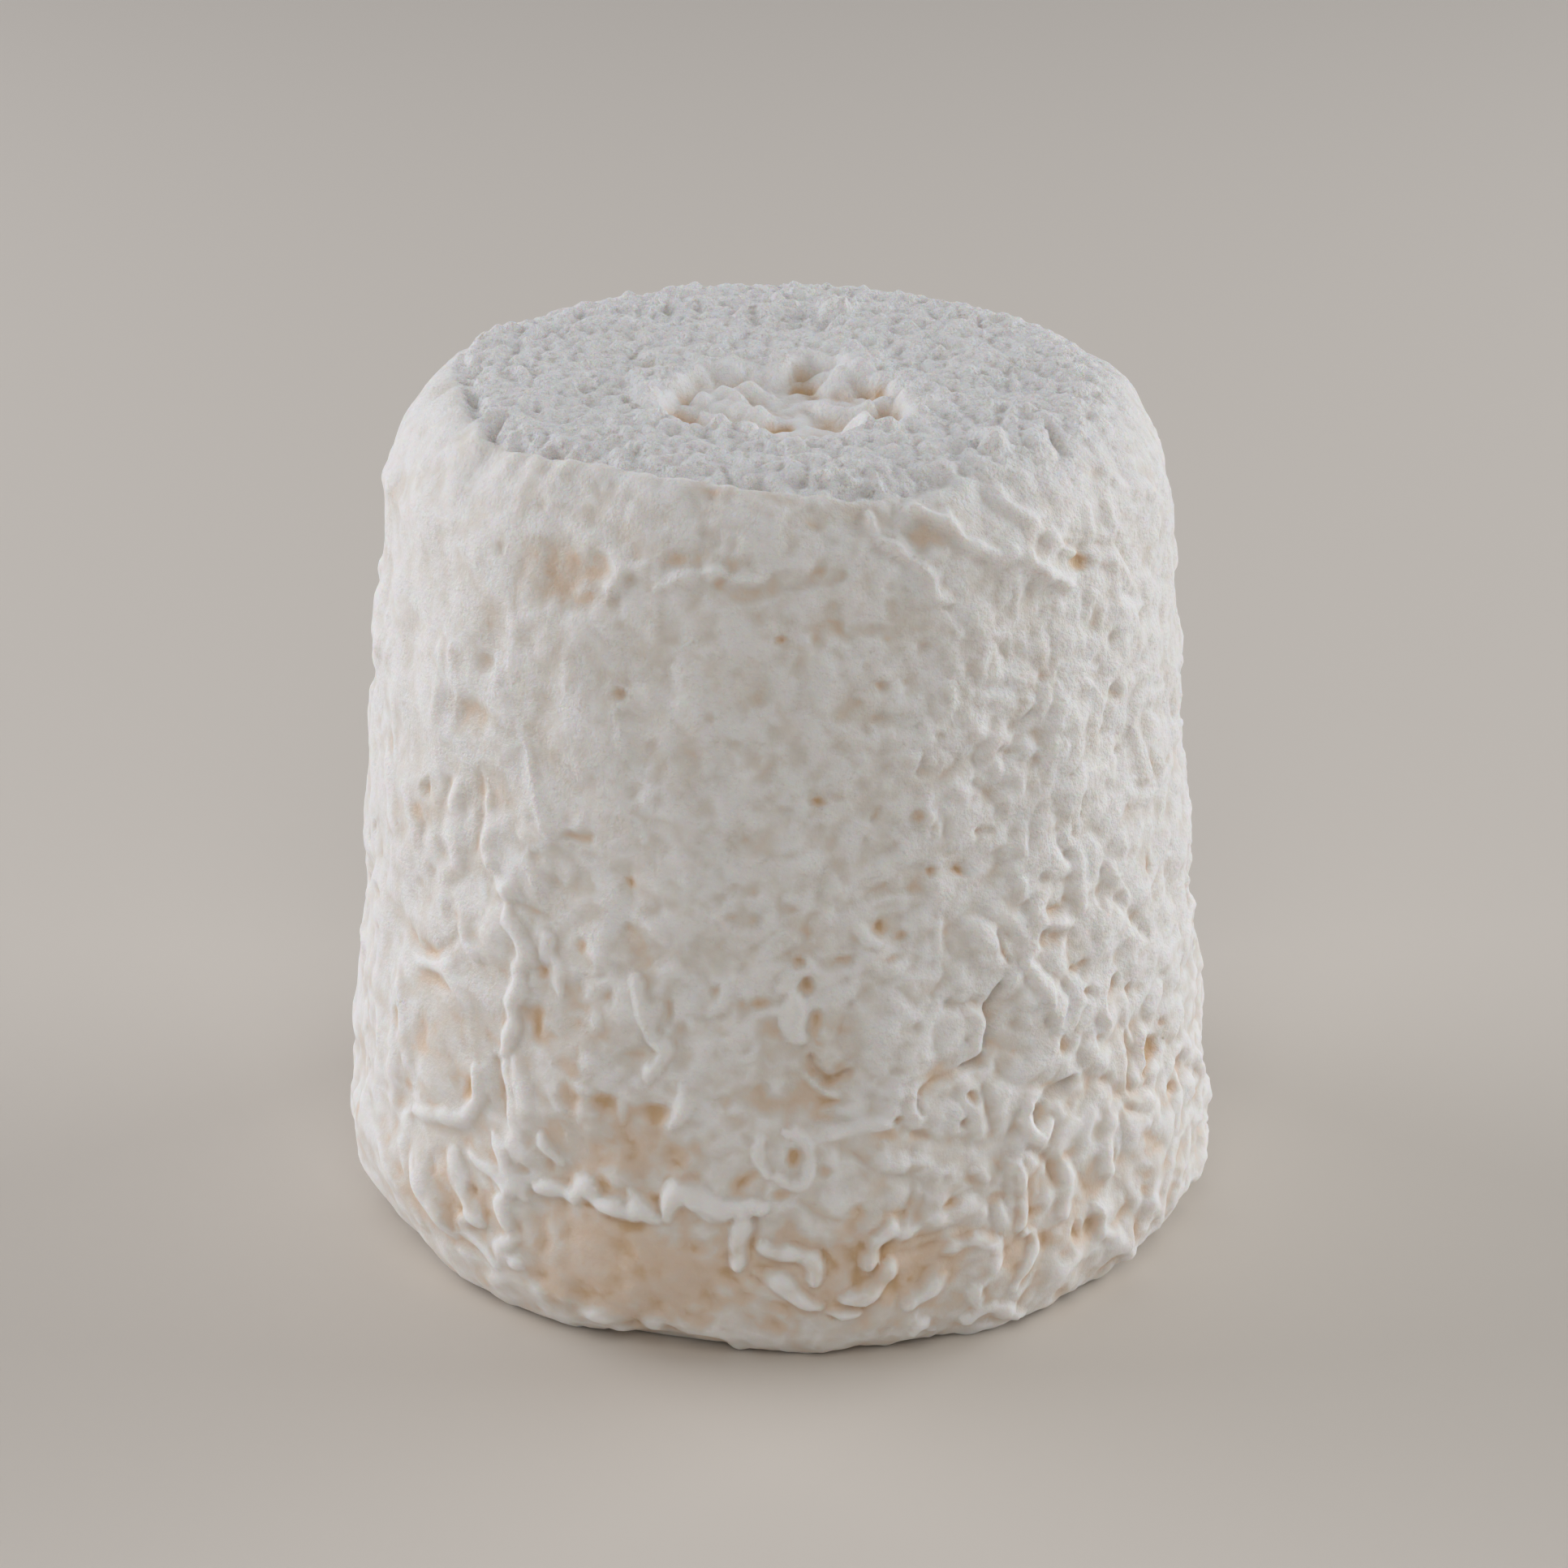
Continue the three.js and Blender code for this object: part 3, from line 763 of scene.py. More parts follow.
# Pits and dents in the skin.
PITS = dents(
    (-31, 53.8, 8.4, 5.4, 0.55, -12, 0.26, 1.8), (-23.4, 56.6, 2.2, 2.0, 0.2, 0, 0.22),
    (-14.2, 55.5, 3.0, 1.5, 0.25, 8, 0.5), (-5.6, 55.5, 3.0, 1.2, 0.12, 0, 0.32),
    (-44, 46.2, 1.8, 1.4, 0.42, 0, 0.3, 2.2), (-46, 42.6, 5.4, 2.6, 0.3, 0, 0.22, 2.0),
    (-21.8, 46.3, 1.2, 1.1, 0.5, 0, 0.5, 3.0), (-20.6, 47.1, 0.9, 0.8, 0.2, 0, 0.35),
    (-35.5, 49.2, 2.4, 2.6, 0.22, 0, 0.18), (-38, 42, 1.0, 0.8, 0.15, 0, 0.2),
    (-28.3, 36.4, 3.0, 0.8, 0.2, -4, 0.3), (-58.6, 33.9, 2.2, 1.7, 0.45, 10, 0.4, 2.0),
    (-69, 36.6, 2.0, 2.6, 0.35, 0, 0.3), (0.3, 50.8, 0.9, 0.6, 0.2, 0, 0.7, 2.0),
    (-11, 58.9, 4.0, 0.8, 0.05, 0, 0.35), (1, 58.4, 2.0, 0.8, 0.05, 0, 0.3),
    (4.8, 57.6, 1.6, 1.0, 0.12, 0, 0.35), (10, 58, 4.6, 1.8, 0.1, -8, 0.28),
    (22, 56.6, 3.4, 2.6, 0.2, -20, 0.3, 2.0), (27, 57.8, 1.6, 1.0, 0.12, 0, 0.3),
    (47.8, 52.8, 2.6, 1.5, 0.55, -6, 0.95, 2.2), (14.2, 47.4, 1.4, 0.9, 0.22, 0, 0.35),
    (17.4, 47.5, 1.4, 0.7, 0.18, 0, 0.32), (10.3, 46.4, 2.0, 1.0, 0.15, 10, 0.28),
    (14.4, 45.3, 3.4, 0.9, 0.2, 0, 0.28), (21.8, 43.9, 1.6, 0.8, 0.28, -35, 0.4),
    (16, 43.7, 3.0, 1.6, 0.15, 0, 0.22), (18.4, 38.8, 1.0, 1.0, 0.35, 0, 0.55),
    (15.3, 36.8, 1.2, 1.2, 0.25, 0, 0.35), (-9, 45.5, 0.9, 1.2, 0.1, 0, 0.4),
    (-5.6, 43.8, 1.3, 0.8, 0.1, 0, 0.35), (-0.8, 43.2, 1.6, 0.6, 0.08, -20, 0.22),
    (4.4, 44.3, 1.4, 0.8, 0.08, 0, 0.22), (-3, 41.6, 1.0, 0.6, 0.1, 0, 0.25),
    (5.3, 40, 1.7, 0.7, 0.25, 0, 0.5, 2.0), (7.7, 40.3, 1.2, 0.6, 0.15, -25, 0.3),
    (1, 39.5, 1.6, 0.5, 0.1, -5, 0.25), (1.1, 36.6, 2.4, 0.8, 0.12, 0, 0.22),
    (44.4, 44.2, 1.2, 1.0, 0.25, 0, 0.15), (53.4, 43.2, 2.0, 1.2, 0.4, -20, 0.22),
    (54.6, 38.8, 1.3, 0.9, 0.4, 0, 0.25), (36.2, 40.6, 1.2, 1.0, 0.35, 30, 0.3),
    (32.6, 41.8, 2.4, 0.7, 0.25, -10, 0.25), (26.6, 39, 1.0, 1.0, 0.25, 0, 0.28),
    (47.2, 36.4, 0.9, 2.0, 0.3, 0, 0.25), (62, 47, 2.2, 1.2, 0.35, -30, 0.2),
    (64, 36, 2.6, 1.6, 0.4, -40, 0.2), (24.6, 34.3, 1.8, 0.8, 0.4, -25, 0.65),
    (20.3, 34.8, 0.9, 0.9, 0.35, 0, 0.55, 2.0), (-32.2, 26.5, 1.2, 1.8, 0.3, 0, 0.5),
    (-32.6, 23, 1.2, 3.4, 0.35, 0, 0.5), (-26.3, 29, 0.8, 1.2, 0.3, 0, 0.6),
    (-51.5, 22.9, 3.0, 1.2, 0.4, 0, 0.35), (-40.6, 20.9, 1.2, 1.4, 0.25, 0, 0.35),
    (-61, 18.3, 1.0, 2.6, 0.4, 0, 0.5), (-54, 18.6, 2.0, 3.0, 0.3, 0, 0.3),
    (-56.5, 14.2, 1.6, 1.2, 0.4, 0, 0.45), (-27, 18.3, 2.6, 1.6, 0.3, 0, 0.4, 2.0),
    (-22, 18.6, 2.4, 1.6, 0.25, 0, 0.4, 2.0), (-19.2, 30.8, 2.6, 1.4, 0.2, 0, 0.32),
    (-19.6, 33.9, 0.9, 0.8, 0.2, 0, 0.45), (-22, 26, 0.7, 1.4, 0.2, 0, 0.4),
    (-8.1, 27, 1.0, 1.2, 0.2, 0, 0.4), (-2.5, 26.4, 2.6, 1.2, 0.25, 6, 0.4),
    (-4, 32.1, 3.0, 1.0, 0.12, 0, 0.3), (-3.1, 33.9, 0.9, 1.2, 0.15, 0, 0.45),
    (1.3, 33, 1.4, 1.2, 0.12, 0, 0.3), (2.7, 29.3, 1.6, 0.8, 0.25, 0, 0.5),
    (3.7, 27.4, 0.8, 1.6, 0.25, 0, 0.5), (4.8, 25, 0.9, 3.0, 0.25, 0, 0.4),
    (-1.8, 19.6, 6.0, 2.2, 0.35, -4, 0.42), (0.8, 20.4, 1.4, 1.0, 0.15, 0, 0.3),
    (-7, 19.6, 2.0, 1.0, 0.15, 0, 0.3), (-15.8, 18.4, 2.8, 1.5, 0.35, 4, 0.42, 2.2),
    (6.7, 19.4, 3.0, 0.8, 0.2, 0, 0.35), (7, 18.3, 2.6, 0.8, 0.15, 0, 0.3),
    (13.5, 17.1, 2.4, 0.8, 0.2, 0, 0.35), (15.2, 18, 0.7, 0.6, 0.25, 0, 0.5),
    (13.4, 31.3, 0.9, 1.2, 0.35, 0, 0.5), (16.4, 30.6, 0.8, 0.8, 0.25, 0, 0.4),
    (8.5, 29.3, 1.4, 0.9, 0.3, 0, 0.55, 2.0), (14.7, 29.2, 1.5, 0.6, 0.25, 0, 0.45),
    (17.8, 24.4, 1.0, 0.8, 0.2, 0, 0.3), (22.6, 25.4, 1.6, 0.9, 0.25, -30, 0.3),
    (14, 33.8, 2.6, 1.2, 0.2, -8, 0.32), (39.7, 30, 2.0, 0.8, 0.45, -8, 0.5),
    (38.5, 28.1, 2.6, 1.8, 0.4, 0, 0.25), (44.3, 23.5, 1.7, 0.8, 0.6, -32, 0.6),
    (54.3, 21.8, 0.9, 1.6, 0.45, 0, 0.35), (37.2, 22.7, 0.8, 1.4, 0.4, 0, 0.35),
    (39.4, 20.7, 0.9, 1.8, 0.4, 0, 0.4), (46.5, 19.8, 1.0, 0.7, 0.3, 0, 0.3),
    (48.4, 28.8, 0.6, 1.2, 0.3, 0, 0.25), (60.5, 29.7, 0.9, 2.4, 0.5, 0, 0.35),
    (42, 33.3, 1.2, 1.0, 0.3, 0, 0.25), (37.5, 32.7, 1.2, 0.9, 0.3, 0, 0.25),
    (63, 17.6, 0.8, 0.8, 0.3, 0, 0.45), (59.2, 16.4, 2.7, 2.3, 1.1, 0, 0.95, 2.6),
    (65, 12.4, 0.9, 1.6, 0.35, 0, 0.5), (-43.7, 16.6, 1.3, 1.8, 0.55, 0, 0.7, 2.0),
    (1.7, 15.8, 0.9, 1.6, 0.45, 0, 0.8, 2.0), (-4.4, 14, 2.2, 1.1, 0.35, 50, 0.6),
    (-13, 15.7, 2.6, 1.8, 0.2, 0, 0.32), (-12, 11.7, 1.4, 0.8, 0.2, 0, 0.4),
    (-24.5, 10.9, 1.6, 0.8, 0.2, 0, 0.4), (-18.2, 9.8, 1.6, 0.8, 0.15, 0, 0.3),
    (-15.7, 12.2, 1.0, 0.9, 0.25, 0, 0.45), (-22.6, 13, 1.3, 0.9, 0.25, 0, 0.5),
    (17.2, 14.4, 1.5, 0.9, 0.2, 0, 0.5), (6, 14.8, 1.3, 0.9, 0.2, 0, 0.5),
    (9.4, 11.6, 1.4, 1.8, 0.2, -20, 0.4), (15.4, 11.2, 1.4, 0.9, 0.2, 0, 0.45),
    (22.3, 11.4, 1.5, 0.8, 0.2, 0, 0.5), (5.8, 8.7, 0.8, 1.8, 0.35, 30, 0.6),
    (12.8, 8.6, 0.7, 1.2, 0.25, 0, 0.5), (0.4, 13.2, 1.2, 0.8, 0.2, 0, 0.5),
    (9.6, 7, 1.2, 1.8, 0.25, 0, 0.35), (25.4, 18.6, 0.9, 1.5, 0.65, 25, 0.6, 2.0),
    (24.2, 16.9, 0.8, 0.7, 0.35, 0, 0.45), (33.7, 9.2, 1.7, 1.0, 0.3, 0, 0.4),
    (28.4, 11, 1.4, 1.0, 0.25, 0, 0.4), (26.6, 8.4, 1.4, 0.8, 0.2, 0, 0.35),
    (26.2, 4.6, 1.0, 1.2, 0.2, 0, 0.35), (40.8, 6.6, 1.0, 2.4, 0.35, 0, 0.4),
    (35.6, 7, 1.0, 1.6, 0.25, 0, 0.35), (44.4, 6.2, 1.6, 2.2, 0.35, 0, 0.35),
    (49, 10.6, 0.7, 1.8, 0.35, 0, 0.4), (54.2, 6.9, 1.4, 1.0, 0.25, 0, 0.35),
    (66.5, 5, 1.4, 1.0, 0.25, 0, 0.35), (-14, 0.4, 11.0, 3.4, 0.8, 0, 0.1),
)

# Lumps of thick skin: they are dents that stand out.
LUMPS = dents(
    (-50.4, 16.3, 5.0, 4.6, -0.55), (-55, 26.3, 4.5, 3.5, -0.45), (-40, 28.4, 2.6, 4.2, -0.35),
    (-20, 13.9, 2.6, 2.6, -0.3), (-23.3, 2.7, 3.0, 1.8, -0.7, 0, -0.2, 2.0),
    (-29, 3.9, 2.2, 1.2, -0.3), (-44.5, 4.4, 1.8, 1.4, -0.4), (-39, 3.2, 1.8, 1.4, -0.4),
    (-24.8, 21.4, 1.4, 1.4, -0.3, 0, -0.2), (-13.4, 28.4, 2.2, 1.4, -0.3, 0, -0.2),
    (-0.2, 26, 0.9, 0.9, -0.4, 0, -0.2), (-24, 24.4, 1.4, 2.0, -0.25, 0, -0.2),
    (6.8, 22.9, 3.4, 2.2, -0.35), (15.1, 14.6, 3.0, 1.4, -0.3, 0, -0.2),
    (21, 23.4, 9.0, 5.0, -0.4, 0, -0.1, 2.0), (27.3, 29.8, 3.0, 2.6, -0.4),
    (50, 30.8, 2.8, 1.4, -0.35), (39, 29.2, 4.0, 1.0, -0.3), (49.3, 27.2, 5.0, 4.0, -0.4),
    (57.8, 28, 1.8, 1.6, -0.35), (32.5, 25, 3.8, 3.6, -0.4), (51.6, 16, 1.6, 2.6, -0.4),
    (-28, 52.7, 2.0, 1.5, -0.3), (-36.6, 54.8, 2.0, 1.6, -0.25),
    (-29.6, 46.2, 2.0, 1.6, -0.2, 0, -0.2), (15, 44.3, 1.1, 1.0, -0.3),
    (24, 40.3, 1.8, 2.2, -0.4, 0, -0.2), (34, 34.8, 1.0, 1.3, -0.3), (7.1, 57.8, 1.0, 0.9, -0.15),
    (3.6, 51, 0.9, 0.8, -0.12), (84, 6.6, 5.0, 4.0, -0.35),
)

# Bare, waxy skin that the mould hasn't covered: soft patches with no relief of their own.
BARE_SKIN = dents(
    (-18.5, 6.4, 19, 10.5, 0, 0, 0.46, 1.6), (-20.5, 16, 14, 7.5, 0, 0, 0.36, 1.4),
    (-49, 20.5, 13, 17, 0, 0, 0.18), (11.5, 7.5, 16, 10.5, 0, 0, 0.32),
    (-27.5, 22, 9, 9, 0, 0, 0.22), (5, 22, 7, 9, 0, 0, 0.22), (32.5, 8, 9, 9, 0, 0, 0.16),
    (53.5, 16, 10, 8, 0, 0, 0.12), (-50, 7, 14, 9, 0, 0, 0.2), (-58, 34, 9, 7, 0, 0, 0.16),
    (-31, 53.5, 9, 5, 0, 0, 0.14), (-12, 55.5, 9, 2.6, 0, 0, 0.16), (-43, 37.6, 8, 5, 0, 0, 0.16),
)

# Broad slumps of the body itself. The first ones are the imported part's own.
SLUMPS = dents(
    (-45, 33, 12, 12, 0.4), (6, 22, 10, 10, 0.3), (28, 23.5, 10, 10, 0.3), (58, 16.5, 10, 10, 0.4),
    (-18, 7, 16, 11, 0.45), (112, 38, 16, 16, 0.6), (168, 20, 18, 18, 0.7), (-120, 44, 16, 16, 0.6),
    (145, 57, 26, 14, 0.6), (84, 34, 8, 10, 0.7), (82, 15.5, 7, 6, 1.0), (78, 3.5, 9, 5, -0.9),
    (-82, 43.5, 9, 6, -0.6), (-80, 53.4, 12, 2.6, -0.35), (-82, 36.5, 7, 5, -0.4),
    (-80, 22, 9, 9, 0.8), (-80, 10, 9, 6, 0.7),
)


@dataclass(frozen=True)
class Round:
    """How strong a kind of growth is, way round the cheese.

    Attributes:
        strengths: Its strength at each of the bearings below.
        bearings: Degrees from the front, towards +X.
    """

    strengths: tuple[float, ...]
    bearings: tuple[float, ...] = (-180, -130, -85, -50, -25, 0, 20, 40, 80, 130, 180)

    def at(self, bearing: np.ndarray) -> np.ndarray:
        """Gives the strength at each bearing."""
        return np.interp(bearing, self.bearings, self.strengths)


# Pressed-together lumps, worms and fine powder, each way round.
LUMPS_ROUND = Round((0.75, 0.7, 0.6, 0.5, 0.45, 0.5, 0.8, 1.05, 0.9, 0.8, 0.75))
WORMS_ROUND = Round((0.6, 0.6, 0.45, 0.35, 0.14, 0.16, 0.34, 0.5, 0.5, 0.55, 0.6))
POWDER_ROUND = Round((0.6, 0.55, 0.5, 0.45, 0.5, 0.55, 0.75, 0.95, 0.8, 0.7, 0.6))

# How much calmer the lumps are in the upper band.
QUIET_ROUND = Round((0.3, 0.35, 0.5, 0.5, 0.2, 0.3), (-180, -90, -60, 5, 35, 180))

# How much of the small relief shows, and how soft it is: cottony on the left, crisp on the right.
DETAIL_ROUND = Round((0.8, 0.7, 0.6, 0.7, 0.95, 1.15, 1.15, 1.05, 0.85, 0.75, 0.8))
SOFT_ROUND = Round((0.5, 0.6, 0.7, 0.6, 0.35, 0.2, 0.1, 0.1, 0.2, 0.3, 0.5))


class SideMap(Map):
    """The side's rind, unrolled: across is the way round, and up is the way up the skin.

    Attributes:
        margin: How far the map runs past the foot and past the middle of the top's edge.
        cell: The size of a cell.
        wandering: How far the bands' edges stray up and down.
        upper_band: The heights between which the quiet upper band begins.
        worm_band: The heights between which the maze of worms fades out and is full.
        powder_band: The heights between which the fine powder begins.
        warm_foot_band: The heights between which the colour near the foot, in front, begins to warm
            and is warmest.
        swell: How far the body's slowest waves stand out.
        broad_lump: How far the pressed lumps stand out.
        fine_lump: How far the smaller lumps on them stand out.
        worm_spacing: From one worm of the maze to the next.
        worm_rise: How far the maze's worms stand out.
        film_patch: The size of the film's patches.
        film_rise: How thick the film is.
        cotton: How far the fluff stands out where the mould is thin, and what thick mould adds.
        crisp: How far small relief is blurred where it is crisp.
        cottony: How far it is blurred where it is cottony.
        most_relief: What small relief levels off at.
        front_reach: How many degrees round from the front the placed features reach.
        stray_worms: How many worms are tried past there.
        stray_pits: How many pits are tried past there.
        stray_step: How far a stray worm goes between bends.
        seam: How far strays keep from the seam at the back.
    """

    margin = 8.0
    cell = 0.14
    wandering = 2.5
    upper_band = (30, 44)
    worm_band = (27, 13)
    powder_band = (8, 26)
    warm_foot_band = (20, 5)
    swell = 0.16
    broad_lump = 0.3
    fine_lump = 0.12
    worm_spacing = 2.5
    worm_rise = 0.42
    film_patch = 4.4
    film_rise = 0.05
    cotton = (0.03, 0.05)
    crisp = 0.1
    cottony = 0.4
    most_relief = 1.25
    front_reach = 64.0
    stray_worms = 60
    stray_pits = 80
    stray_step = 1.1
    seam = 4.0

    def __init__(self, drum: Drum, rng: np.random.Generator) -> None:
        """Unrolls an empty map from a drum.

        Args:
            drum: The drum that it goes round.
            rng: Where its random draws come from.
        """
        self.drum = drum
        self.radius = (drum.belly_radius + drum.shoulder_radius) / 2
        self.round = TURN * self.radius
        top = float(drum.climb(np.array(drum.height))) + self.margin
        super().__init__((-self.round / 2, -self.margin), (self.round / 2, top), self.cell, rng)
        self.bearing = np.degrees(self.u / self.radius)

    def on_map(self, place: tuple[float, float]) -> tuple[float, float]:
        """Turns a bearing and a height into a place on the map."""
        climbed = float(self.drum.climb(np.array(place[1], float)))
        return (math.radians(place[0]) * self.radius, climbed)

    def grow(self) -> None:
        """Makes the whole side: slow relief, lumps, worms and film, then the placed features."""
        self.ragged = self.cloud(9.0, 3)
        self.wander = self.noise(2.4)
        height = self.v + self.wandering * self.ragged
        upper = smooth_step(*self.upper_band, height)
        self.relief += self.swell * self.cloud(13.0, 2)
        for slump in SLUMPS:
            slump.draw(self, self.on_map(slump.place), self.wander)
        body = self.relief.copy()
        self.add_lumps(upper, height)
        self.add_worms(height)
        self.add_film(upper)
        for feature in BARE_SKIN + PITS + LUMPS:
            feature.draw(self, self.on_map(feature.place), self.wander)
        strokes = LOWER_LEFT + WORM_ROW + LOWER_RIGHT + MIDDLE_LEFT + MIDDLE + MIDDLE_RIGHT + UPPER
        for stroke in strokes:
            stroke.draw(self, [self.on_map(point) for point in stroke.path], self.wander)
        self.add_strays()
        powdery = POWDER_ROUND.at(self.bearing) * smooth_step(*self.powder_band, height)
        fluff = self.cloud(2.8, 2, 0.8)
        self.relief += (self.cotton[0] + self.cotton[1] * powdery) * fluff
        self.relief = body + self.calmed(self.relief - body)
        self.add_veil(upper, height, powdery, fluff)

    def add_veil(
        self, upper: np.ndarray, height: np.ndarray, powdery: np.ndarray, fluff: np.ndarray
    ) -> None:
        """Veils the skin in uneven mould, thinner in front, and warms the colour towards the foot
        in front.

        Args:
            upper: How far each cell belongs to the quiet upper band.
            height: Each cell's height, a little uneven.
            powdery: How thick the mould is.
            fluff: The mould's own fluff.
        """
        aside = np.abs(self.bearing)
        front = smooth_step(75, 25, aside) * smooth_step(14, 24, height)
        veil = self.cloud(6.0, 4, 0.8)
        self.stain_and_shade += 0.12 * smooth_step(*self.warm_foot_band, height) * smooth_step(80, 40, aside)
        self.stain_and_shade += 0.06 + 0.04 * front + (0.05 + 0.04 * front) * veil - 0.06 * powdery * fluff
        self.powder += powdery
        thin_stain = np.clip(self.stain_and_shade, 0, 0.5) * smooth_step(0.85, 0.4, self.stain_and_shade)
        self.stain_and_shade -= 0.45 * powdery * thin_stain
        self.powder += 0.25 * upper + 0.12 * self.cloud(3.0, 2) - 0.6 * np.clip(self.stain_and_shade, 0, 1)

    def calmed(self, relief: np.ndarray) -> np.ndarray:
        """Softens small relief by its side of the cheese, and holds back what stands out too far.

        Args:
            relief: The small relief, in millimetres.

        Returns:
            The softened relief.
        """
        soft = SOFT_ROUND.at(self.bearing)
        crisp, cottony = self.blurred(relief, self.crisp), self.blurred(relief, self.cottony)
        relief = (1 - soft) * crisp + soft * cottony
        held_back = self.most_relief * np.tanh(relief / self.most_relief)
        return DETAIL_ROUND.at(self.bearing) * held_back

    def add_lumps(self, upper: np.ndarray, height: np.ndarray) -> None:
        """Presses soft lumps together, most of all on the right, and taller ones on the left.

        Args:
            upper: How far each cell belongs to the quiet upper band.
            height: Each cell's height, a little uneven.
        """
        strength = LUMPS_ROUND.at(self.bearing) * (1 - QUIET_ROUND.at(self.bearing) * upper)
        strength *= smooth_step(-2, 8, height) * smooth_step(58, 47, height)
        left = smooth_step(0, -20, self.bearing) * smooth_step(-110, -80, self.bearing)
        broad = (1 - left) * self.pillows(6.4) + left * self.pillows(5.6, 1.3)
        fine = self.pillows(3.2)
        self.relief += strength * (self.broad_lump * broad + self.fine_lump * fine)
        # Painted shade in the creases between the lumps.
        self.stain_and_shade += 0.16 * strength * smooth_step(-0.3, -0.75, broad)
        self.powder += 0.3 * strength * broad

    def add_worms(self, height: np.ndarray) -> None:
        """Raises a maze of worms round the lower part.

        Args:
            height: Each cell's height, a little uneven.
        """
        strength = WORMS_ROUND.at(self.bearing) * smooth_step(*self.worm_band, height)
        maze = self.labyrinth(self.worm_spacing, -0.2)
        cord = np.clip(0.5 + 0.5 * maze, 0.0, 1.0) ** 0.7
        self.relief += self.worm_rise * strength * (cord - 0.6)
        self.stain_and_shade += strength * (0.24 - 0.32 * cord)

    def add_film(self, upper: np.ndarray) -> None:
        """Lays the thin white film, whose parted edges leave smooth hollows between them."""
        film = self.cloud(self.film_patch, 4, 0.75)
        cover = smooth_step(-0.75, -0.15, film)
        self.relief += self.film_rise * (cover - 0.7)
        self.stain_and_shade += (0.2 - 0.05 * upper) * (1 - cover)
        self.powder -= 0.35 * (1 - cover)

    def add_strays(self) -> None:
        """Scatters worms and pits over the sides and the back, where none are listed."""
        for _ in range(self.stray_worms):
            across = self.behind()
            low = 2.5 + 34 * self.rng.uniform() ** 1.9
            turn = self.rng.uniform(0, TURN)
            width, rise = self.rng.uniform(0.9, 1.7), self.rng.uniform(0.2, 0.4)
            bends = self.rng.normal(0, 0.55, int(self.rng.integers(3, 8)))
            section = FOLD if self.rng.uniform() < 0.35 else WORM
            place = np.array([across, low])
            points = [tuple(place)]
            for bend in bends:
                turn += bend
                place = place + self.stray_step * np.array([math.cos(turn), math.sin(turn)])
                points.append(tuple(place))
            if abs(place[0]) < self.round / 2 - self.seam and 1.5 < place[1] < 45:
                Stroke(points, width, rise, section).draw(self, points, self.wander)
        for _ in range(self.stray_pits):
            place = (self.behind(), self.rng.uniform(6, 54))
            length, share = self.rng.uniform(0.9, 3.0), self.rng.uniform(0.4, 1.0)
            depth, slant = self.rng.uniform(0.1, 0.3), self.rng.uniform(-90, 90)
            pit = Dent(place, length, length * share, depth, slant, 0.15 + 0.6 * depth, 2.0)
            if abs(place[0]) < self.round / 2 - self.seam:
                pit.draw(self, place, self.wander)

    def behind(self) -> float:
        """Draws a random place across the map, past what the placed features reach."""
        bearing = self.front_reach + self.rng.uniform() * (360 - 2 * self.front_reach)
        return math.radians((bearing + 180) % 360 - 180) * self.radius


# ---------------------------------------------------------------- the top and the foot

# The skin's torn edge round the front left of the top: bearing in degrees, radius in millimetres.
LIP = ((-110, 22.6), (-95, 22.0), (-78, 21.4), (-63, 22.3), (-52, 22.6), (-43, 22.3), (-28, 21.7),
       (-13, 21.9), (0, 22.6), (12, 23.1), (22, 23.3), (34, 22.6))

# The torn hollow's edge, anticlockwise from the right: x and y in millimetres.
TORN_EDGE = ((8.6, -7.6), (8.5, -5.6), (7.7, -3.4), (6.4, -1.4), (5.4, 0.4), (4.2, 2.2),
             (2.6, 3), (1.2, 2.6), (0, 0.8), (-2.6, 0.4), (-5.2, 0), (-7.2, -2.4), (-8, -5.4),
             (-7.8, -8.2), (-6.4, -11), (-4.8, -12.2), (-3.2, -11.9), (-1.6, -13.2),
             (-0.6, -14.2), (2.4, -14.6), (3.8, -13.8), (5.2, -12.4), (7.4, -11.8), (8.4, -10))

# Folds and creases of the top, outside the hollow.
TOP_STROKES = strokes(
    (FOLD, 3.0, 0.4, -18, -13.4, -20.6, -9.4, -22.3, -4, -22.3, 1, -21, 6, -19, 10),
    (GROOVE, 1.0, 0.22, -20.2, 1, -21, -2.2, -21.3, -4.8, -21.4, -7),
    (GROOVE, 0.9, 0.3, -21, -8, -20.4, -9.4, -19.8, -10.9, -18.8, -12.2, -17.6, -14.4,
     -16.6, -15.8),
    (GROOVE, 0.7, 0.45, -18.7, -11.6, -18.3, -10.4, -17.6, -9.7),
    (GROOVE, 0.7, 0.35, -14.6, -17.2, -13.4, -18, -12.4, -18.6),
    (GROOVE, 1.1, 0.3, -10.2, -6.4, -9.4, -8, -8.6, -9.6),
    (GROOVE, 1.1, 1.0, 10.2, -16.4, 11.3, -16.4, 12.4, -15.7, 12.9, -14.8),
    (GROOVE, 0.9, 0.75, 17.6, -10.8, 18, -12, 18.4, -13.5, 18, -14.8),
    (GROOVE, 0.8, 0.45, 20, -11.2, 20.8, -12.6, 21.4, -14.2),
    (GROOVE, 0.8, 0.25, 15, -6.2, 15.9, -6.8, 16.6, -7.2),
    (GROOVE, 0.6, 0.25, 15.4, -12.4, 15.9, -13.4),
    (FOLD, 1.9, 0.35, 16.2, -12.6, 17, -14, 16.8, -15.4),
    (FOLD, 1.9, 0.35, 19.4, -10.4, 19.8, -12.6, 19.4, -15),
    (FOLD, 1.6, 0.35, -4.6, 4.6, -4.3, 3.4, -4, 2.6),
    (FOLD, 1.6, 0.25, -12.4, 13.4, -11.8, 11.6, -12.6, 9.8),
    (FOLD, 2.2, 0.2, 8.6, -4.6, 9.8, -7, 9.6, -10),
    (FOLD, 1.8, 0.3, -9.8, -1.6, -9, -3.4, -8.6, -5),
)

